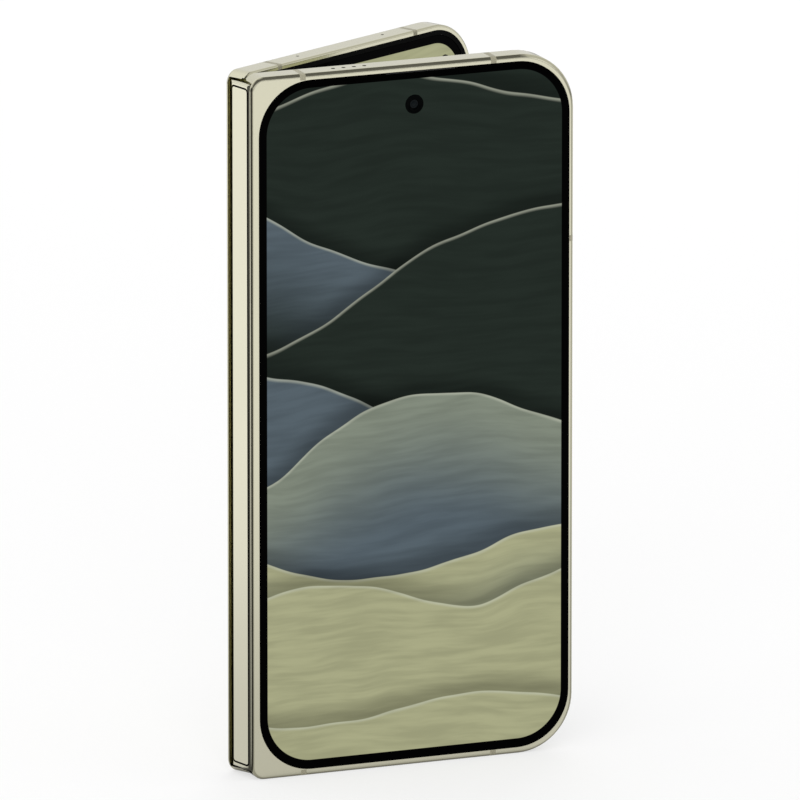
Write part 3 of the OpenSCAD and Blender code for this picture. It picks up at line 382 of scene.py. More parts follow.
class Graph:
    """A node tree with short ways to add and link nodes."""

    def __init__(self, tree):
        self.tree = tree

    def add(self, kind, inputs=None, **options):
        node = self.tree.nodes.new(kind)
        for key, value in options.items():
            setattr(node, key, value)
        self.fill(node, inputs or {})
        return node

    def fill(self, node, values):
        """Sets or links a node's inputs by name."""
        for key, value in values.items():
            self.feed(node.inputs[key], value)

    def feed(self, socket, value):
        if isinstance(value, bpy.types.NodeSocket):
            self.tree.links.new(value, socket)
        elif hasattr(value, "__len__") and len(value) == 3 and socket.type == "RGBA":
            socket.default_value = (*value, 1)
        else:
            socket.default_value = value

    def math(self, operation, a, b=0.0, clamp=False):
        node = self.add("ShaderNodeMath", {0: a, 1: b}, operation=operation, use_clamp=clamp)
        return node.outputs[0]

    def times(self, a, b):
        return self.math("MULTIPLY", a, b)

    def plus(self, a, b):
        return self.math("ADD", a, b)

    def minus(self, a, b):
        return self.math("SUBTRACT", a, b)

    def larger(self, a, b):
        return self.math("MAXIMUM", a, b)

    def flat(self, across, up):
        return self.add("ShaderNodeCombineXYZ", {0: across, 1: up}).outputs[0]

    def vector(self, operation, a, b=(0, 0, 0)):
        node = self.add("ShaderNodeVectorMath", {0: a, 1: b}, operation=operation)
        gives_number = operation in ("DOT_PRODUCT", "LENGTH")
        return node.outputs["Value" if gives_number else "Vector"]

    def mix(self, share, a, b, blend="MIX"):
        node = self.add("ShaderNodeMix", {0: share, 6: a, 7: b}, data_type="RGBA", blend_type=blend)
        return node.outputs[2]

    def ramp(self, value, low, high, start=0.0, end=1.0):
        """A soft step of value between low and high, from start to end."""
        node = self.add(
            "ShaderNodeMapRange",
            {"Value": value, "From Min": low, "From Max": high, "To Min": start, "To Max": end},
            interpolation_type="SMOOTHSTEP",
        )
        return node.outputs["Result"]

    def spread(self, noise, start=0.0, end=1.0):
        """Noise, which lies mostly between 0.3 and 0.7, stretched from start to end."""
        return self.ramp(noise, 0.3, 0.7, start, end)

    def noise(self, place, scale, detail=2.0, rough=0.5):
        node = self.add(
            "ShaderNodeTexNoise",
            {"Vector": place, "Scale": scale, "Detail": detail, "Roughness": rough},
        )
        return node.outputs["Fac"]

    def split(self, place):
        return self.add("ShaderNodeSeparateXYZ", {0: place}).outputs

    def place(self):
        """Where a point is on the resting object, in metres."""
        return self.add("ShaderNodeTexCoord").outputs["Object"]

    def screen_place(self):
        node = self.add("ShaderNodeAttribute", attribute_type="GEOMETRY", attribute_name="screen_place")
        return node.outputs["Vector"]

    def effect(self, group, **inputs):
        """Places a shared effect and gives back its outputs."""
        return self.add("ShaderNodeGroup", inputs, node_tree=group).outputs

    def bump(self, height, distance, strength=1.0):
        node = self.add("ShaderNodeBump", {"Height": height, "Distance": distance, "Strength": strength})
        return node.outputs["Normal"]


def effect_group(name, inputs, outputs, fill):
    """A shader node group, built once. Its sockets are named by kind, and fill(graph, inputs) gives
    back its outputs by name."""
    if name in bpy.data.node_groups:
        return bpy.data.node_groups[name]
    group = bpy.data.node_groups.new(name, "ShaderNodeTree")
    for way, kinds in (("INPUT", inputs), ("OUTPUT", outputs)):
        for kind, names in kinds.items():
            for key in names:
                group.interface.new_socket(key, in_out=way, socket_type=kind)
    graph = Graph(group)
    given = graph.add("NodeGroupInput").outputs
    graph.add("NodeGroupOutput", fill(graph, given))
    return group


# The kinds of socket
NUMBER = "NodeSocketFloat"
COLOUR = "NodeSocketColor"
PLACE = "NodeSocketVector"


def surface_grain():
    """Fine grain for a bump, and slow changes of tone over the surface."""

    def fill(graph, given):
        stretched = graph.vector("MULTIPLY", given["Place"], given["Stretch"])
        fine = graph.noise(stretched, given["Scale"], detail=3.0, rough=0.6)
        slow = graph.noise(given["Place"], given["Drift"], detail=1.0)
        return {"Height": fine, "Tone": slow}

    return effect_group(
        "surface_grain", {PLACE: ("Place", "Stretch"), NUMBER: ("Scale", "Drift")},
        {NUMBER: ("Height", "Tone")}, fill,
    )


def painted_edge_mask():
    """Mask of a painted dark reflection: where the surface turns from a face to a side, told by its
    normal along the thickness.
    """

    def fill(graph, given):
        along = graph.math("ABSOLUTE", graph.vector("DOT_PRODUCT", given["Normal"], given["Axis"]))
        side = graph.math("SQRT", graph.math("SUBTRACT", 1.0, graph.times(along, along), clamp=True))
        # Twice the sine by the cosine: 1 halfway round the edge, 0 on the face and on the side
        turned = graph.times(graph.times(along, side), 2.0)
        return {"Mask": graph.ramp(turned, given["Start"], given["Full"])}

    return effect_group(
        "painted_edge_mask", {PLACE: ("Normal", "Axis"), NUMBER: ("Start", "Full")}, {NUMBER: ("Mask",)}, fill
    )


def lit_window():
    """A rounded rectangle about a centre: 1 inside it, 0 outside, with a soft edge."""
    soft = 0.08 * MM

    def fill(graph, given):
        off = graph.vector("ABSOLUTE", graph.vector("SUBTRACT", given["Place"], given["Centre"]))
        corner = graph.flat(given["Corner"], given["Corner"])
        past = graph.vector("SUBTRACT", off, graph.vector("SUBTRACT", given["Half"], corner))
        outside = graph.vector("LENGTH", graph.vector("MAXIMUM", past, (0, 0, 0)))
        away = graph.minus(outside, given["Corner"])
        return {"Mask": graph.ramp(away, soft, 0.0)}

    return effect_group(
        "lit_window", {PLACE: ("Place", "Centre", "Half"), NUMBER: ("Corner",)}, {NUMBER: ("Mask",)}, fill
    )


def ribbon():
    """One flowing ribbon laid over what is behind it: everything under a long wave."""
    seam, thread_start, thread_end, thread_shine = 0.25 * MM, 0.2 * MM, 1 * MM, 0.5
    shadow_reach, shadow_tone = 6 * MM, 0.42

    def fill(graph, given):
        across, up, _ = graph.split(given["Place"])
        turns = graph.math("DIVIDE", across, given["Wave"])
        turn = graph.plus(graph.times(turns, math.tau), given["Phase"])
        crest = graph.plus(given["Level"], graph.times(graph.math("SINE", turn), given["Sway"]))
        crest = graph.plus(crest, graph.times(across, given["Rise"]))
        under = graph.minus(crest, up)
        share = graph.ramp(under, 0.0, seam)
        body = graph.mix(graph.ramp(under, 0.0, given["Depth"]), given["Top"], given["Low"])
        line = graph.minus(1.0, graph.ramp(under, thread_start, thread_end))
        body = graph.mix(graph.times(line, thread_shine), body, given["Thread"])
        shadow = graph.ramp(graph.times(under, -1.0), 0.0, shadow_reach, shadow_tone, 0.0)
        behind = graph.mix(shadow, given["Behind"], (0.0, 0.0, 0.0))
        return {"Colour": graph.mix(share, behind, body)}

    return effect_group(
        "ribbon",
        {PLACE: ("Place",), COLOUR: ("Behind", "Top", "Low", "Thread"),
         NUMBER: ("Level", "Sway", "Wave", "Phase", "Rise", "Depth")},
        {COLOUR: ("Colour",)}, fill,
    )


# The picture, from the back to the front: level and sway in millimetres, wave in millimetres,
# phase in turns, rise, depth in millimetres, and the names of its top and low colours
RIBBONS = (
    (142, 8, 150, 0.10, 0.12, 40, "deep", "deep"),
    (122, 9, 130, 0.42, -0.14, 34, "slate", "deep"),
    (101, 8, 118, 0.75, 0.20, 36, "deep", "deep"),
    (84, 7, 126, 0.30, -0.12, 26, "slate", "slate"),
    (68, 8, 104, 0.92, 0.15, 30, "mist", "slate"),
    (51, 6, 120, 0.55, -0.08, 24, "sage", "mist"),
    (35, 6, 98, 0.15, 0.12, 26, "sage", "sage"),
    (16, 5, 110, 0.66, -0.10, 22, "sage", "sage"),
)


def ribbon_picture():
    """The whole picture of flowing ribbons, by place on a screen."""
    picture = settings("picture")
    wander_scale, wander_lift = 22.0, 12 * MM
    silk_scale, silk_stretch = 60.0, (1.0, 9.0, 1.0)

    def fill(graph, given):
        across, up, _ = graph.split(given["Place"])
        wander = graph.noise(given["Place"], wander_scale)
        lift = graph.times(graph.minus(wander, 0.5), wander_lift)
        bent = graph.flat(across, graph.plus(up, lift))
        colour = tuple(picture.deep)
        wave = ribbon()
        for level, sway, length, phase, rise, depth, top, low in RIBBONS:
            colour = graph.effect(
                wave, Place=bent, Behind=colour, Level=level * MM, Sway=sway * MM, Wave=length * MM,
                Phase=phase * math.tau, Rise=rise, Depth=depth * MM, Top=tuple(getattr(picture, top)),
                Low=tuple(getattr(picture, low)), Thread=tuple(picture.thread),
            )["Colour"]
        silk = graph.noise(graph.vector("MULTIPLY", bent, silk_stretch), silk_scale, detail=3.0)
        sheen = graph.spread(silk, 0.9, 1.1)
        return {"Colour": graph.mix(1.0, colour, sheen, "MULTIPLY")}

    return effect_group("ribbon_picture", {PLACE: ("Place",)}, {COLOUR: ("Colour",)}, fill)


def grain_of(graph, place, scale, drift, stretch=(1, 1, 1)):
    return graph.effect(surface_grain(), Place=place, Scale=scale, Stretch=stretch, Drift=drift)


def new_material(name):
    """A material with an empty Principled shader; gives back the graph, the shader and the material."""
    material = bpy.data.materials.new(name)
    material.use_nodes = True
    shader = next(n for n in material.node_tree.nodes if n.type == "BSDF_PRINCIPLED")
    return Graph(material.node_tree), shader, material


# The direction of the thickness of each body, at rest
AXES = {"front": (0, 1, 0), "rear": (math.sin(2 * LEAN), -math.cos(2 * LEAN), 0),
        "spine": (math.cos(LEAN), math.sin(LEAN), 0)}


def polished_metal(name, tone, edge, axis, rough=0.13, start=0.5, full=0.85, deep=0.45):
    """Polished, tinted metal: bead-blast grain, slow drift of tone and a painted dark reflection on
    rounded edges.
    """
    blast_scale, drift_scale, drift_tone, relief = 5200.0, 26.0, 0.965, 0.004 * MM
    graph, shader, material = new_material(name)
    grain = grain_of(graph, graph.place(), blast_scale, drift_scale)
    normal = graph.add("ShaderNodeTexCoord").outputs["Normal"]
    # Mask of the painted dark reflection on the rounded edges
    mask = graph.effect(painted_edge_mask(), Normal=normal, Axis=AXES[axis], Start=start, Full=full)["Mask"]
    drift = graph.mix(graph.ramp(grain["Tone"], 0.35, 0.65), [c * drift_tone for c in tone], tone)
    # The base colour is darkened towards the edge colour where the mask marks a rounded edge: a painted
    # dark reflection
    graph.fill(shader, {
        "Base Color": graph.mix(graph.times(mask, deep), drift, edge),
        "Metallic": 1.0,
        "Roughness": graph.spread(grain["Tone"], rough, rough + 0.05),
        "Normal": graph.bump(grain["Height"], relief, strength=0.5),
    })
    return material


def grained(name, tone, deep, drift, scale, depth=None, stretch=(1, 1, 1)):
    """A material whose tone drifts down to a deeper one, with the relief of its grain if it has a
    depth; gives back what new_material gives, and the grain."""
    graph, shader, material = new_material(name)
    grain = grain_of(graph, graph.place(), scale, drift, stretch)
    low = [c * deep for c in tone]
    graph.fill(shader, {"Base Color": graph.mix(graph.spread(grain["Tone"]), low, tone)})
    if depth:
        graph.fill(shader, {"Normal": graph.bump(grain["Height"], depth)})
    return graph, shader, material, grain


def plain_metal(name, tone, rough, scale=4000.0, stretch=(1, 1, 1)):
    """Machined or rolled metal with a grain that runs one way."""
    graph, shader, material, grain = grained(name, tone, 0.82, 60.0, scale, 0.01 * MM, stretch)
    graph.fill(shader, {
        "Metallic": 1.0,
        "Roughness": graph.spread(grain["Height"], rough - 0.06, rough + 0.1),
    })
    return material


def moulded(name, tone, rough=0.5, scale=3500.0, depth=0.02 * MM, level=0.4):
    """Moulded plastic or rubber with a fine spark-eroded texture."""
    graph, shader, material, grain = grained(name, tone, 0.86, 90.0, scale, depth)
    graph.fill(shader, {
        "Roughness": graph.spread(grain["Height"], rough - 0.05, rough + 0.08),
        "Specular IOR Level": level,
    })
    return material


def dark_glass(name, tone, rough, level):
    """Black coated glass, as over a camera."""
    graph, shader, material, grain = grained(name, tone, 0.7, 120.0, 900.0)
    graph.fill(shader, {
        "Roughness": graph.spread(grain["Tone"], rough, rough + 0.02),
        "Specular IOR Level": level,
    })
    return material


def screen_glass(name, centre, half, corner, gloss):
    """Glass over a lit screen with a printed black border."""
    finish = settings("finish")
    graph, shader, material = new_material(name)
    place = graph.screen_place()
    lit = graph.effect(lit_window(), Place=place, Centre=centre, Half=half, Corner=corner)["Mask"]
    picture = graph.effect(ribbon_picture(), Place=place)["Colour"]
    grain = grain_of(graph, place, 400.0, 18.0)
    graph.fill(shader, {
        "Base Color": tuple(finish.border),
        "Emission Color": graph.mix(lit, (0.0, 0.0, 0.0), picture),
        "Emission Strength": 1.0,
        "Roughness": graph.ramp(grain["Tone"], 0.35, 0.65, gloss, gloss + 0.03),
        "Specular IOR Level": 0.012,
    })
    return material


def frosted_back(name, tone):
    """Frosted, tinted glass of the back."""
    graph, shader, material, grain = grained(name, tone, 0.95, 12.0, 7000.0, 0.006 * MM)
    graph.fill(shader, {
        "Metallic": 0.35,
        "Roughness": graph.spread(grain["Height"], 0.36, 0.46),
        "Coat Weight": 0.25,
        "Coat Roughness": 0.3,
    })
    return material


def circuit(name):
    """Green board with tracks and small round vias."""
    graph, shader, material = new_material(name)
    place = graph.place()
    tracks = graph.add(
        "ShaderNodeTexVoronoi", {"Vector": place, "Scale": 900.0}, distance="CHEBYCHEV", feature="F1"
    ).outputs["Distance"]
    vias = graph.add("ShaderNodeTexVoronoi", {"Vector": place, "Scale": 420.0}).outputs["Distance"]
    green = graph.mix(graph.ramp(tracks, 0.42, 0.5), paint(22, 74, 50), paint(34, 96, 66))
    graph.fill(shader, {
        "Base Color": graph.mix(graph.ramp(vias, 0.16, 0.12), green, paint(196, 168, 92)),
        "Roughness": 0.42,
        "Normal": graph.bump(tracks, 0.02 * MM),
    })
    return material


def copper_coil(name):
    """Flat winding: fine rings of wire about the coil's middle."""
    wire_pitch = 0.45 * MM
    graph, shader, material = new_material(name)
    off = graph.vector("SUBTRACT", graph.place(), tuple(middle(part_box("charging_coil"))))
    wires = graph.math("SINE", graph.times(graph.vector("LENGTH", off), math.tau / wire_pitch))
    graph.fill(shader, {
        "Base Color": graph.mix(graph.ramp(wires, -0.8, 0.4), paint(96, 52, 30), paint(214, 140, 92)),
        "Metallic": 0.9,
        "Roughness": 0.34,
        "Normal": graph.bump(wires, 0.08 * MM),
    })
    return material


def foil(name, tone):
    """Laminated pouch foil with soft wrinkles."""
    graph, shader, material, _ = grained(name, tone, 0.7, 40.0, 160.0, 0.12 * MM)
    graph.fill(shader, {"Metallic": 0.4, "Roughness": 0.38})
    return material


MATERIALS = {}


def finish_of(name):
    """The named finish, made when it is first asked for."""
    if name not in MATERIALS:
        MATERIALS[name] = make_finish(name)
    return MATERIALS[name]


def make_finish(name):
    finish = settings("finish")
    # edge is the colour of the painted dark reflection on rounded metal edges
    frame_tone, spine_tone, edge, back_tint, break_tone = (
        tuple(getattr(finish, key))
        for key in ("frame_metal", "spine_metal", "painted_edge_tone", "back_tint", "break_tone")
    )
    makers = {
        "front_metal": (polished_metal, frame_tone, edge, "front"),
        "rear_metal": (polished_metal, frame_tone, edge, "rear"),
        # The spine's painted edge reflection starts further round the edge and is weaker
        "spine_metal": (polished_metal, spine_tone, edge, "spine", 0.1, 0.8, 1.0, 0.15),
        "front_break": (moulded, break_tone, 0.45),
        "mid_metal": (plain_metal, paint(196, 197, 196), 0.34, 2400.0, (1, 1, 0.04)),
        "hinge_steel": (plain_metal, paint(186, 188, 192), 0.28, 5000.0, (1, 1, 0.08)),
        "pin_steel": (plain_metal, paint(206, 208, 210), 0.16, 6000.0, (0.1, 0.1, 1)),
        "screw_steel": (plain_metal, paint(150, 151, 156), 0.3, 9000.0),
        "shield_steel": (plain_metal, paint(200, 200, 204), 0.26, 1400.0, (1, 1, 0.3)),
        "magnet_plating": (plain_metal, paint(188, 188, 194), 0.2, 3000.0),
        "switch_brass": (plain_metal, paint(206, 176, 120), 0.3),
        "contact_gold": (plain_metal, paint(236, 198, 110), 0.18, 6000.0),
        "port_steel": (plain_metal, paint(190, 190, 190), 0.24, 5000.0, (1, 1, 0.1)),
        "black_plastic": (moulded, paint(24, 24, 25), 0.48),
        "soft_trim": (moulded, paint(3, 3, 3), 0.62, 2600.0, 0.02 * MM, 0.04),
        "mesh_black": (moulded, paint(18, 18, 17), 0.5, 12000.0, 0.06 * MM),
        "camera_black": (moulded, paint(20, 20, 22), 0.36),
        "lens_glass": (dark_glass, paint(10, 14, 26), 0.03, 0.42),
        "window_glass": (dark_glass, paint(7, 7, 8), 0.04, 0.14),
        "eye_glass": (dark_glass, paint(12, 18, 20), 0.06, 0.07),
        "eye_print": (dark_glass, paint(2, 3, 3), 0.05, 0.02),
        "pouch_foil": (foil, paint(52, 54, 58)),
        "board_green": (circuit,),
        "back_frost": (frosted_back, back_tint),
        "flash_phosphor": (moulded, paint(236, 222, 150), 0.3, 1800.0, 0.08 * MM),
        "coil_copper": (copper_coil,),
    }
    maker, *looks = makers[name]
    return maker(name, *looks)


def dress(finish_name, *nodes):
    """Gives carried-over parts their finish."""
    material = finish_of(finish_name)
    for node in nodes:
        part = frame["nodes"][node]
        for slot in part.material_slots:
            slot.material = material


# Operators


class PHONE_OT_metalwork(bpy.types.Operator):
    """Finishes the frames, the spine, the keys, the tray door and the antenna breaks"""

    bl_idname = "phone.metalwork"
    bl_label = "Frames, spine and keys"

    def execute(self, context):
        dress("front_metal", "front_frame", "sim_tray")
        dress("rear_metal", "rear_frame", "power_key", "volume_key", "camera_island")
        dress("spine_metal", "spine_cover", "spine_plate")
        dress("front_break", "front_antenna_breaks", "rear_antenna_breaks")
        dress("back_frost", "back_glass")
        return {"FINISHED"}


class PHONE_OT_inner_works(bpy.types.Operator):
    """Finishes what lies inside: hinge, plates, batteries, boards and modules"""

    bl_idname = "phone.inner_works"
    bl_label = "Inner works"

    def execute(self, context):
        dress("hinge_steel", "hinge_brackets", "front_hinge_arms", "rear_hinge_arms")
        dress("pin_steel", "hinge_pins", "pin_nuts")
        dress("screw_steel", "bracket_screws", "front_screws", "rear_screws")
        dress("mid_metal", "front_mid_plate", "rear_mid_plate")
        dress("pouch_foil", "front_battery", "rear_battery")
        dress("board_green", "front_board", "logic_board", "usb_board")
        dress("shield_steel", "shield_cans", "sim_reader", "microphones", "haptic_motor")
        dress("magnet_plating", "front_magnets", "rear_magnets")
        dress("switch_brass", "key_switches")
        dress("coil_copper", "charging_coil")
        dress("port_steel", "usb_shell")
        dress("black_plastic", "usb_tongue", "speaker_module", "earpiece")
        dress("black_plastic", "front_connectors", "rear_connectors")
        dress("camera_black", "camera_modules", "cover_camera", "inner_camera")
        dress("soft_trim", "front_display_trim", "rear_display_trim", "plate_seal", "tray_seal")
        dress("window_glass", "cover_display")
        dress("flash_phosphor", "flash_led")
        return {"FINISHED"}


class PHONE_OT_cover_screen(bpy.types.Operator):
    """Makes the cover glass with its rounded edge, border, picture, camera hole and sound slit"""

    bl_idname = "phone.cover_screen"
    bl_label = "Cover screen"

    def execute(self, context):
        screens = settings("screens")
        eye = middle(in_half("cover_camera"))
        corner = screens.glass_corner / MM
        hole = screens.eye_hole / MM
        edge = screens.glass_round / MM
        steps, gloss = 5, 0.04
        shell = Shell(FRONT)
        back, face = shell.band(soft_edge(
            lambda inset: self.outline(corner, inset), GLASS_IN, GLASS_OUT, edge, steps,
        ))
        rim = circle(eye.x, eye.z, hole)
        eye_face, eye_back = shell.band([(rim, GLASS_OUT), (rim, GLASS_IN)])
        shell.cap(face, [eye_face])
        shell.cap(back, [eye_back])
        x0 = GLASS_X0 * MM + screens.side_border
        x1 = GLASS_X1 * MM - screens.side_border
        z0 = GLASS_Z0 * MM + screens.foot_border
        z1 = GLASS_Z1 * MM - screens.top_border
        material = screen_glass(
            "cover_screen_glass", ((x0 + x1) / 2, (z0 + z1) / 2, 0), ((x1 - x0) / 2, (z1 - z0) / 2, 1),
            screens.lit_corner, gloss,
        )
        piece = shell.make("cover_screen_pane", material, "front_half", ["cover_glass"])
        mark_place(piece, FRONT, lambda x: x, lambda z: z)
        small_eye("cover_eye", FRONT, "front_half", eye, hole, GLASS_OUT, 1)
        self.sound_strip()
        return {"FINISHED"}

    def outline(self, corner, inset):
        """The edge of the glass, moved in by inset, with the notch of the sound slit at the top."""
        high = GLASS_Z1 - inset
        notch = [(SLIT_X1 + inset, high), (SLIT_X1 + inset, high - SLIT_DEEP),
                 (SLIT_X0 - inset, high - SLIT_DEEP), (SLIT_X0 - inset, high)]
        corner -= inset
        edge = rounded(
            GLASS_X0 + inset, GLASS_X1 - inset, GLASS_Z0 + inset, high, corner, corner, steps=32
        )
        after = 3 * len(edge) // 4
        return edge[:after] + notch + edge[after:]

    def sound_strip(self):
        """The fine strip of mesh in the sound slit."""
        fit, deep, thick, corner = 0.05, 0.12, 0.2, 0.06
        strip = Shell(FRONT)
        strip.box(SLIT_X0 + fit, SLIT_X1 - fit, GLASS_OUT + deep, GLASS_OUT + deep + thick,
                  GLASS_Z1 - SLIT_DEEP + fit, GLASS_Z1 - fit, corner)
        strip.make("cover_sound_strip", finish_of("mesh_black"), "front_half")


def small_eye(name, place, body, spot, hole, face, inward):
    """A camera behind a screen: a black mask with a small pupil, and the lens in it. The glass that it
    sits in has its face at that level, and inward is the way to its back along the thickness."""
    fit, sunk, bevel, slope, mask_t = 0.03, 0.03, 0.02, 0.12, 0.3
    pupil, chamfer, play = 0.95, 0.25, 0.01
    lens_r, base, rise, foot, steps = 0.6, 0.28, 0.12, 0.06, 6
    outer = hole - fit
    seat = pupil - play

    def level(depth):
        return face + inward * depth

    mask = Shell(place)
    mask.tube(spot.x, spot.z, [
        (outer, level(mask_t)), (outer, level(sunk + bevel)), (outer - bevel, level(sunk)),
        (pupil + chamfer, level(sunk)), (pupil, level(sunk + slope)), (pupil, level(mask_t)),
    ])
    mask.make(name + "_mask", finish_of("eye_print"), body)
    lens = Shell(place)
    lens.turned(spot.x, spot.z, [
        (seat, level(base + foot)), (seat, level(base)),
        *dome(lens_r, level(base), rise, steps, inward),
    ])
    lens.make(name + "_lens", finish_of("eye_glass"), body)


class PHONE_OT_inner_screen(bpy.types.Operator):
    """Makes the two flat parts of the inner screen, the part between them that bends, and its camera"""

    bl_idname = "phone.inner_screen"
    bl_label = "Inner screen"

    def execute(self, context):
        screens = settings("screens")
        border = screens.inner_border
        half_x = (PANEL_X1 + FLAT_GAP / 2) * MM - border
        half_z = (PANEL_Z1 - PANEL_Z0) / 2 * MM - border
        gloss = 0.09
        material = screen_glass(
            "inner_screen_film", (0, PHONE_H / 2 * MM, 0), (half_x, half_z, 1),
            screens.inner_corner, gloss,
        )
        eye = middle(solids("inner_camera", REAR)[0])
        self.panel("front", FRONT, "front_half", -1, material, None)
        self.panel("rear", REAR, "rear_half", 1, material, eye)
        self.fold("front_half", -1, material)
        self.fold("rear_half", 1, material)
        small_eye("inner_eye", REAR, "rear_half", eye, screens.inner_eye / MM, PANEL_FACE, -1)
        return {"FINISHED"}

    def panel(self, side, place, body, way, material, eye):
        """One flat part, with a hole for the camera where it has one."""
        screens = settings("screens")
        near, soft = 0.3, 0.06
        far = (screens.inner_corner + screens.inner_border) / MM
        shell = Shell(place)
        back, face = shell.band([
            (rounded(PANEL_X0 + inset, PANEL_X1 - inset, PANEL_Z0 + inset, PANEL_Z1 - inset,
                     near, far - inset), level)
            for inset, level in ((0, PANEL_BACK), (0, PANEL_FACE - soft), (soft, PANEL_FACE))
        ])
        backs, faces = [], []
        if eye:
            hole = screens.inner_eye / MM
            low, high = shell.band([(circle(eye.x, eye.z, hole), t) for t in (PANEL_BACK, PANEL_FACE)])
            backs, faces = [low], [high]
        shell.cap(back, backs)
        shell.cap(face, faces)
        node = "inner_display_" + side
        piece = shell.make("inner_screen_" + side, material, body, [node])
        mark_place(piece, place, lambda x: way * (x + FLAT_GAP / 2), lambda z: PHONE_H - z)

    def fold(self, body, way, material):
        """Half of the part that bends, made in its resting shape. Each of its points is where the bend
        between the spine and the half leaves it at rest; on the real phone the sheet is flat when open
        and rolled when shut."""
        screens = settings("screens")
        steps = 28
        face = PANEL_FACE - PIN_T
        thick = screens.fold_sheet / MM
        reach = PIN_REACH + PANEL_X0 - PIN_X
        start = Vector((face, 0))
        end = self.bent((face, reach), 1.0)
        shell = Shell(SPINE, "height")
        rows = []
        for level in (face, face - thick):
            share = 0.0
            for i in range(steps + 1):
                flat = (level, reach * i / steps)
                share = self.share(flat, start, end, share)
                spot = self.bent(flat, share)
                rows.append((spot.x, way * spot.y, way * flat[1]))
        for z in (PANEL_Z0, PANEL_Z1):
            for x, y, across in rows:
                shell.points.append((x, y, z))
                shell.spread.append((across, PHONE_H - z, 0))
        self.sheet(shell, steps + 1, len(rows))
        side = body.split("_")[0]
        piece = shell.make("inner_fold_" + side, material, None, ["display_fold"])
        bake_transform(piece)

    def sheet(self, shell, row, layer):
        """Faces of a bent sheet: its two sides, its two long edges and its two ends."""
        for i in range(row - 1):
            for offset in (0, row):
                a = offset + i
                shell.faces.append((a, a + 1, layer + a + 1, layer + a))
            for base in (0, layer):
                shell.faces.append((base + i, base + i + 1, base + row + i + 1, base + row + i))
        for i in (0, row - 1):
            shell.faces.append((i, row + i, layer + row + i, layer + i))

    def bent(self, flat, share):
        """Where a flat point comes to when it follows the half for that share of the fold."""
        pin = Vector((0, PIN_REACH))
        turn = Matrix.Rotation(-share * math.radians(FLAT_DEG), 2)
        return pin + turn @ (Vector(flat) - pin)

    def share(self, flat, start, end, last):
        """The share, from the last one up, at which the smooth blend from start to end gives itself."""
        line = end - start
        tries, halvings = 400, 30

        def over(share):
            t = min(max((self.bent(flat, share) - start).dot(line) / line.length_squared, 0), 1)
            return t * t * (3 - 2 * t) - share

        for i in range(tries):
            low, high = (last + (1 - last) * k / tries for k in (i, i + 1))
            if over(low) >= 0 >= over(high):
                for _ in range(halvings):
                    half = (low + high) / 2
                    low, high = (half, high) if over(half) > 0 else (low, half)
                return (low + high) / 2
        return 1.0 if last > 0.5 else last


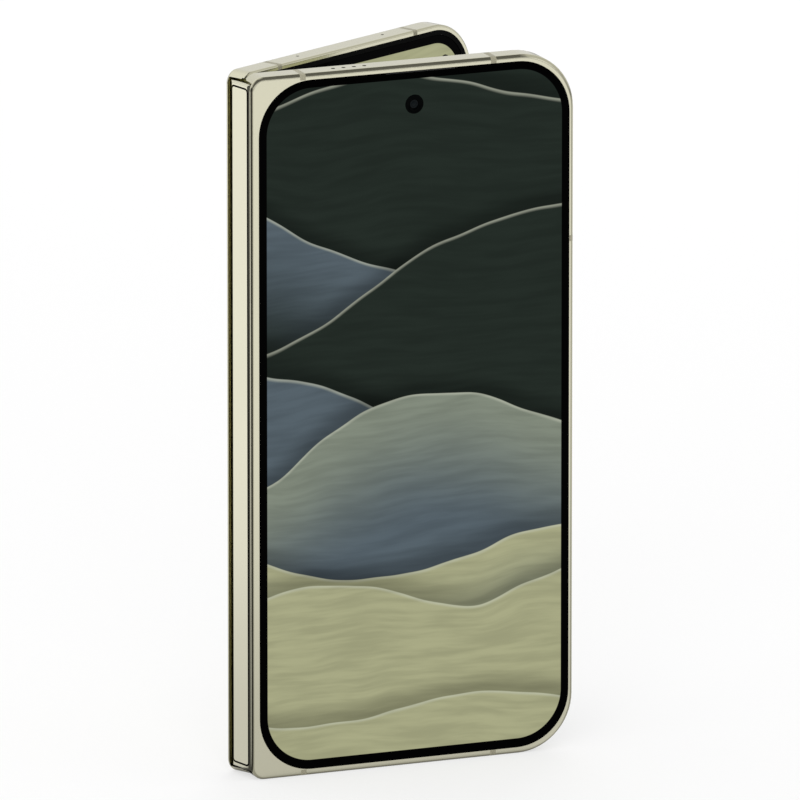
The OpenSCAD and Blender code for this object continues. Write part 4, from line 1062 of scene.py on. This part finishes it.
class PHONE_OT_camera_island(bpy.types.Operator):
    """Makes the two dark windows of the camera island, the lenses in them and the flash lens"""

    bl_idname = "phone.camera_island"
    bl_label = "Camera windows, lenses and flash"

    def execute(self, context):
        cameras = settings("cameras")
        self.ring = cameras.ring / MM
        self.ring_wall = cameras.ring_wall / MM
        self.glass = cameras.front_glass / MM
        self.flash = cameras.flash / MM
        lenses = [middle(box) for box in solids("camera_modules", REAR)]
        flash = middle(solids("flash_led", REAR)[0])
        windows = solids("camera_windows", REAR)
        for number, (low, high) in enumerate(windows, 1):
            here = [spot for spot in lenses if low.z < spot.z < high.z]
            holes = [circle(spot.x, spot.z, self.ring) for spot in here]
            if low.z < flash.z < high.z:
                holes.append(circle(flash.x, flash.z, self.flash))
            self.window(number, low, high, holes)
        for number, spot in enumerate(lenses, 1):
            self.lens(number, spot, windows[0][0].y, windows[0][1].y)
        self.flash_lens(flash, windows[0][0].y)
        return {"FINISHED"}

    def window(self, number, low, high, holes):
        """A pill of black glass with a softened edge and holes for what stands in it."""
        edge, steps = 0.18, 4
        radius = (high.z - low.z) / 2
        shell = Shell(REAR)
        back, face = shell.band(soft_edge(
            lambda inset: self.pill(low, high, radius, inset), high.y, low.y, edge, steps,
        ))
        bores = [shell.band([(hole, high.y), (hole, low.y)]) for hole in holes]
        shell.cap(back, [bore[0] for bore in bores])
        shell.cap(face, [bore[1] for bore in bores])
        shell.make(f"camera_window_{number}", finish_of("window_glass"), "rear_half",
                   ["camera_windows"])

    def pill(self, low, high, radius, inset):
        least_flat = 0.001
        corner = radius - inset - least_flat
        return rounded(low.x + inset, high.x - inset, low.z + inset, high.z - inset, corner, corner)

    def lens(self, number, spot, face, back):
        """A polished ring, a ribbed black well and a domed front glass."""
        fit, chamfer, sides = 0.02, 0.08, 72
        outer = self.ring - fit
        inner = outer - self.ring_wall
        ring = Shell(REAR)
        ring.tube(spot.x, spot.z, [
            (outer, back), (outer, face + chamfer), (outer - chamfer, face), (inner + chamfer, face),
            (inner, face + chamfer), (inner, back),
        ], sides)
        ring.make(f"lens_ring_{number}", finish_of("rear_metal"), "rear_half")
        well = Shell(REAR)
        ribs, top, drop, lift, land, above_back = 4, 0.16, 0.07, 0.03, 0.3, 0.04
        wall = inner - fit
        step = (wall - self.glass) / ribs
        floor = back - above_back
        profile = [(wall, floor), (wall, face + top)]
        for i in range(1, ribs + 1):
            radius = wall - i * step
            depth = face + top + i * drop
            profile += [(radius + step * land, depth - lift), (radius, depth)]
        profile.append((self.glass, floor))
        well.tube(spot.x, spot.z, profile, sides)
        well.make(f"lens_well_{number}", finish_of("camera_black"), "rear_half")
        glass = Shell(REAR)
        lip, bevel, bevel_deep, seat, above_floor = 0.3, 0.05, 0.04, 0.22, 0.02
        rise, shoulder, steps, sides = 0.26, 0.08, 8, 64
        rim = self.glass - fit
        dome_r = rim - 2 * lip
        base = floor - above_floor
        brim = base - seat
        glass.turned(spot.x, spot.z, [
            (rim, floor), (rim, brim + bevel_deep), (rim - bevel, brim), (rim - lip, brim),
            (dome_r + shoulder, base), *dome(dome_r, base, rise, steps),
        ], sides)
        glass.make(f"lens_glass_{number}", finish_of("lens_glass"), "rear_half")

    def flash_lens(self, spot, face):
        """A round diffuser with fine rings."""
        fit, sunk, groove, thick, rings, valley, land = 0.03, 0.05, 0.05, 0.45, 7, 0.55, 0.3
        outer = self.flash - fit
        profile = [(outer, face + thick), (outer, face + sunk)]
        for i in range(rings):
            radius = outer * (1 - (i + valley) / rings)
            profile += [(radius + outer / rings * land, face + sunk + groove), (radius, face + sunk)]
        lens = Shell(REAR)
        lens.turned(spot.x, spot.z, profile)
        lens.make("flash_lens", finish_of("flash_phosphor"), "rear_half")


class PHONE_OT_sound_holes(bpy.types.Operator):
    """Fills the speaker and microphone holes with discs of fine mesh, a little below the surface"""

    bl_idname = "phone.sound_holes"
    bl_label = "Speaker and microphone mesh"

    def execute(self, context):
        self.group("top_speaker_mesh", FRONT, "front_half", TOP_SPEAKERS, SPEAKER_R, PHONE_H, -1)
        self.group("lower_speaker_mesh", REAR, "rear_half", LOWER_SPEAKERS, SPEAKER_R, 0, 1)
        self.group("top_mic_mesh", REAR, "rear_half", TOP_MICS, MIC_R, PHONE_H, -1)
        self.group("lower_mic_mesh", REAR, "rear_half", LOWER_MICS, MIC_R, 0, 1)
        return {"FINISHED"}

    def group(self, name, place, body, across, radius, level, inward):
        """One dished disc in each hole, at mid thickness."""
        fit, deep, thick, dish, sides = 0.01, 0.3, 0.12, 0.08, 24
        brim, hollow = radius * 0.8, radius * 0.3
        shell = Shell(place, "height")
        face = level + inward * deep
        back = face + inward * thick
        for x in across:
            shell.turned(x, HALF_T / 2, [
                (radius - fit, back), (radius - fit, face),
                (brim, face + inward * dish / 2), (hollow, face + inward * dish),
            ], sides)
        shell.make(name, finish_of("mesh_black"), body)


class PHONE_OT_charging_port(bpy.types.Operator):
    """Makes the rows of gold contacts on both faces of the charging port's tongue"""

    bl_idname = "phone.charging_port"
    bl_label = "Charging port contacts"

    def execute(self, context):
        count, pitch, wide, proud, sunk = 12, 0.5, 0.28, 0.02, 0.05
        blade_t, first, last, corner = 0.7, 1.5, 4.4, 0.06
        x_mid = middle(solids("usb_tongue", REAR)[0]).x
        shell = Shell(REAR)
        for way in (-1, 1):
            face = HALF_T / 2 + way * blade_t / 2
            for i in range(count):
                x = x_mid + (i - (count - 1) / 2) * pitch
                shell.box(x - wide / 2, x + wide / 2, face - way * sunk, face + way * proud,
                          first, last, corner)
        shell.make("port_contacts", finish_of("contact_gold"), "rear_half")
        return {"FINISHED"}


# The two dark cards that polished metal sees, with no card objects: dark strips painted into the floor's
# glow and dark patches of the world; bearing and half width in degrees, tone
CARDS = ((194, 34, 0.05), (-32, 14, 0.5))


class PHONE_OT_stage(bpy.types.Operator):
    """Sets up the pale floor, the soft light and the camera"""

    bl_idname = "phone.stage"
    bl_label = "Stage, light and camera"

    def execute(self, context):
        context.scene.view_settings.view_transform = "Standard"
        self.floor(context.scene)
        self.sky(context.scene)
        self.lamps(context.scene)
        self.camera(context.scene)
        return {"FINISHED"}

    def floor(self, scene):
        """White to the camera. What polished metal sees of it has painted shade: softer near the phone, a
        painted shadow dark close under it, and two dark strips of floor beside it, painted reflections of
        a studio's black cards."""
        reach, paper_scale = 9.0, 900.0
        mesh = bpy.data.meshes.new("floor")
        mesh.from_pydata(
            [(-reach, -reach, 0), (reach, -reach, 0), (reach, reach, 0), (-reach, reach, 0)], [],
            [(0, 1, 2, 3)],
        )
        floor = bpy.data.objects.new("floor", mesh)
        scene.collection.objects.link(floor)
        material = bpy.data.materials.new("pale_floor")
        material.use_nodes = True
        material.node_tree.nodes.clear()
        graph = Graph(material.node_tree)
        place = graph.place()
        paper = graph.noise(place, paper_scale)
        tone = graph.mix(paper, (0.88, 0.88, 0.88), (0.92, 0.92, 0.92))
        diffuse = graph.add("ShaderNodeBsdfDiffuse", {"Color": tone}).outputs[0]
        away = graph.vector("LENGTH", place)
        # Painted shade in what gloss sees: the floor's glow dims near the phone, and it also dims far
        # away
        near_painted_shade = graph.ramp(away, 0.03, 0.34, 0.68, 1.0)
        far_tone = graph.ramp(away, 0.7, 1.6, 1.0, 0.45)
        level = graph.times(near_painted_shade, far_tone)
        # Painted reflections of the black cards: dark strips in the floor's glow
        for card, corner in zip(CARDS, (SPINE.translation, FRONT @ Vector((HALF_W, 0, 0)))):
            from_corner = graph.vector("SUBTRACT", place, corner)
            level = graph.times(level, self.card(graph, from_corner, *card))
        # Painted shadow: the floor's glow goes dark where the phone hides it, within foot_reach
        foot_reach, foot_samples = 8 * MM, 6
        open_air = graph.add(
            "ShaderNodeAmbientOcclusion", {"Distance": foot_reach}, samples=foot_samples
        ).outputs["AO"]
        level = graph.times(level, graph.ramp(open_air, 0.0, 0.9, 0.25, 1.0))
        path = graph.add("ShaderNodeLightPath").outputs
        strength = graph.plus(1.0, graph.times(path["Is Glossy Ray"], graph.minus(level, 1.0)))
        white = (1.0, 1.0, 1.0)
        glow = graph.add("ShaderNodeEmission", {"Color": white, "Strength": strength}).outputs[0]
        camera_glow, mirror_glow = 0.62, 0.95
        straight = graph.times(path["Is Camera Ray"], camera_glow)
        seen = graph.larger(path["Is Glossy Ray"], path["Is Transmission Ray"])
        share = graph.larger(straight, graph.times(seen, mirror_glow))
        lit = graph.add("ShaderNodeMixShader", {0: share, 1: diffuse, 2: glow}).outputs[0]
        graph.add("ShaderNodeOutputMaterial", {"Surface": lit})
        mesh.materials.append(material)

    def card(self, graph, heading, bearing, wide, tone):
        """1 all round, and the card's tone in its directions, with a soft edge."""
        edge = 5
        east, north, _ = graph.split(heading)
        turn = math.radians(bearing)
        aim = (math.cos(turn), math.sin(turn), 0)
        facing = graph.vector("DOT_PRODUCT", graph.vector("NORMALIZE", graph.flat(east, north)), aim)
        outer, inner = (math.cos(math.radians(wide + soft)) for soft in (edge, -edge))
        return graph.ramp(facing, outer, inner, 1.0, tone)

    def sky(self, scene):
        """White for the camera; for gloss also a dark ceiling panel over the front, and the cards."""
        world = bpy.data.worlds.new("studio")
        world.use_nodes = True
        scene.world = world
        world.node_tree.nodes.clear()
        graph = Graph(world.node_tree)
        heading = graph.add("ShaderNodeTexCoord").outputs["Generated"]
        east, north, up = graph.split(heading)
        slant, panel_depth, room_tone = 0.7, 0.8, 0.72
        lean = graph.minus(north, graph.times(east, slant))
        panel = graph.times(graph.ramp(up, 0.06, 0.2), graph.ramp(up, 0.985, 0.955))
        panel = graph.times(panel, graph.ramp(lean, 0.33, 0.17))
        panel = graph.times(panel, graph.ramp(east, 0.5, 0.42))
        gloss = graph.ramp(north, 0.5, 0.95, 1.0, 0.8)
        for card in CARDS:
            over_card = graph.ramp(up, 0.1, 0.3)
            gloss = graph.times(gloss, graph.larger(self.card(graph, heading, *card), over_card))
        gloss = graph.times(gloss, graph.minus(1.0, graph.times(panel, panel_depth)))
        path = graph.add("ShaderNodeLightPath").outputs
        level = graph.mix(path["Is Glossy Ray"], (room_tone, room_tone, room_tone), gloss)
        clear = graph.larger(path["Is Camera Ray"], path["Is Transmission Ray"])
        level = graph.mix(clear, level, (1.0, 1.0, 1.0))
        background = graph.add("ShaderNodeBackground", {"Color": level, "Strength": 1.0}).outputs[0]
        graph.add("ShaderNodeOutputWorld", {"Surface": background})

    def lamps(self, scene):
        """Large soft lamps in front, behind and above, out of the reflections."""
        centre = Vector((0, 0, PHONE_H / 2 * MM))
        for name, place, size, power in (
            ("front_soft", (-0.5, -1.1, 0.75), 0.9, 5.5),
            ("back_soft", (0.55, 1.1, 0.8), 0.9, 4.5),
            ("top_soft", (0.0, 0.0, 1.3), 1.0, 3.0),
        ):
            data = bpy.data.lights.new(name, "AREA")
            data.size = size
            data.energy = power
            lamp = bpy.data.objects.new(name, data)
            lamp.location = place
            lamp.rotation_euler = (centre - Vector(place)).to_track_quat("-Z", "Y").to_euler()
            lamp.visible_glossy = False
            scene.collection.objects.link(lamp)

    def camera(self, scene):
        """A very long lens from the left and a little above."""
        turn, rise, distance = math.radians(21.84), math.radians(13.96), 3.892
        focal, sensor, width = 814.4, 36.0, 800
        aim_x, seen_x, seen_y = 38.0, 416.1, 415.7
        aim = FRONT @ Vector((aim_x, 0, PHONE_H / 2))
        back = Vector((
            -math.sin(turn) * math.cos(rise), -math.cos(turn) * math.cos(rise), math.sin(rise),
        ))
        right = Vector((math.cos(turn), -math.sin(turn), 0))
        up = back.cross(right)
        per_pixel = distance * sensor / focal / width
        off_right = (seen_x - width / 2) * per_pixel
        off_down = (seen_y - width / 2) * per_pixel
        data = bpy.data.cameras.new("camera")
        data.lens = focal
        data.sensor_width = sensor
        data.clip_start, data.clip_end = 0.1, 50.0
        camera = bpy.data.objects.new("camera", data)
        camera.location = aim + back * distance - right * off_right + up * off_down
        camera.rotation_euler = Matrix((right, up, back)).transposed().to_euler()
        scene.collection.objects.link(camera)
        scene.camera = camera


OPERATORS = (
    PHONE_OT_stage, PHONE_OT_metalwork, PHONE_OT_inner_works, PHONE_OT_cover_screen,
    PHONE_OT_inner_screen, PHONE_OT_camera_island, PHONE_OT_sound_holes, PHONE_OT_charging_port,
)


class PHONE_PT_workshop(bpy.types.Panel):
    """Lists the sizes, the colours and the pieces"""

    bl_idname = "PHONE_PT_workshop"
    bl_label = "Folding phone"
    bl_space_type = "VIEW_3D"
    bl_region_type = "UI"
    bl_category = "Phone"

    def draw(self, context):
        layout = self.layout
        for name, group in GROUPS.items():
            box = layout.box()
            for key in group.__annotations__:
                box.prop(getattr(context.scene, name), key)
        for item in OPERATORS:
            layout.operator(item.bl_idname)


CLASSES = (*GROUPS.values(), *OPERATORS, PHONE_PT_workshop)


def register():
    for item in CLASSES:
        bpy.utils.register_class(item)
    for name, group in GROUPS.items():
        setattr(bpy.types.Scene, name, bpy.props.PointerProperty(type=group))


def unregister():
    for name in GROUPS:
        delattr(bpy.types.Scene, name)
    for item in reversed(CLASSES):
        bpy.utils.unregister_class(item)


def main():
    register()
    bpy.ops.phone.stage()
    bpy.ops.phone.metalwork()
    bpy.ops.phone.inner_works()
    bpy.ops.phone.cover_screen()
    bpy.ops.phone.inner_screen()
    bpy.ops.phone.camera_island()
    bpy.ops.phone.sound_holes()
    bpy.ops.phone.charging_port()


if __name__ == "__main__":
    main()
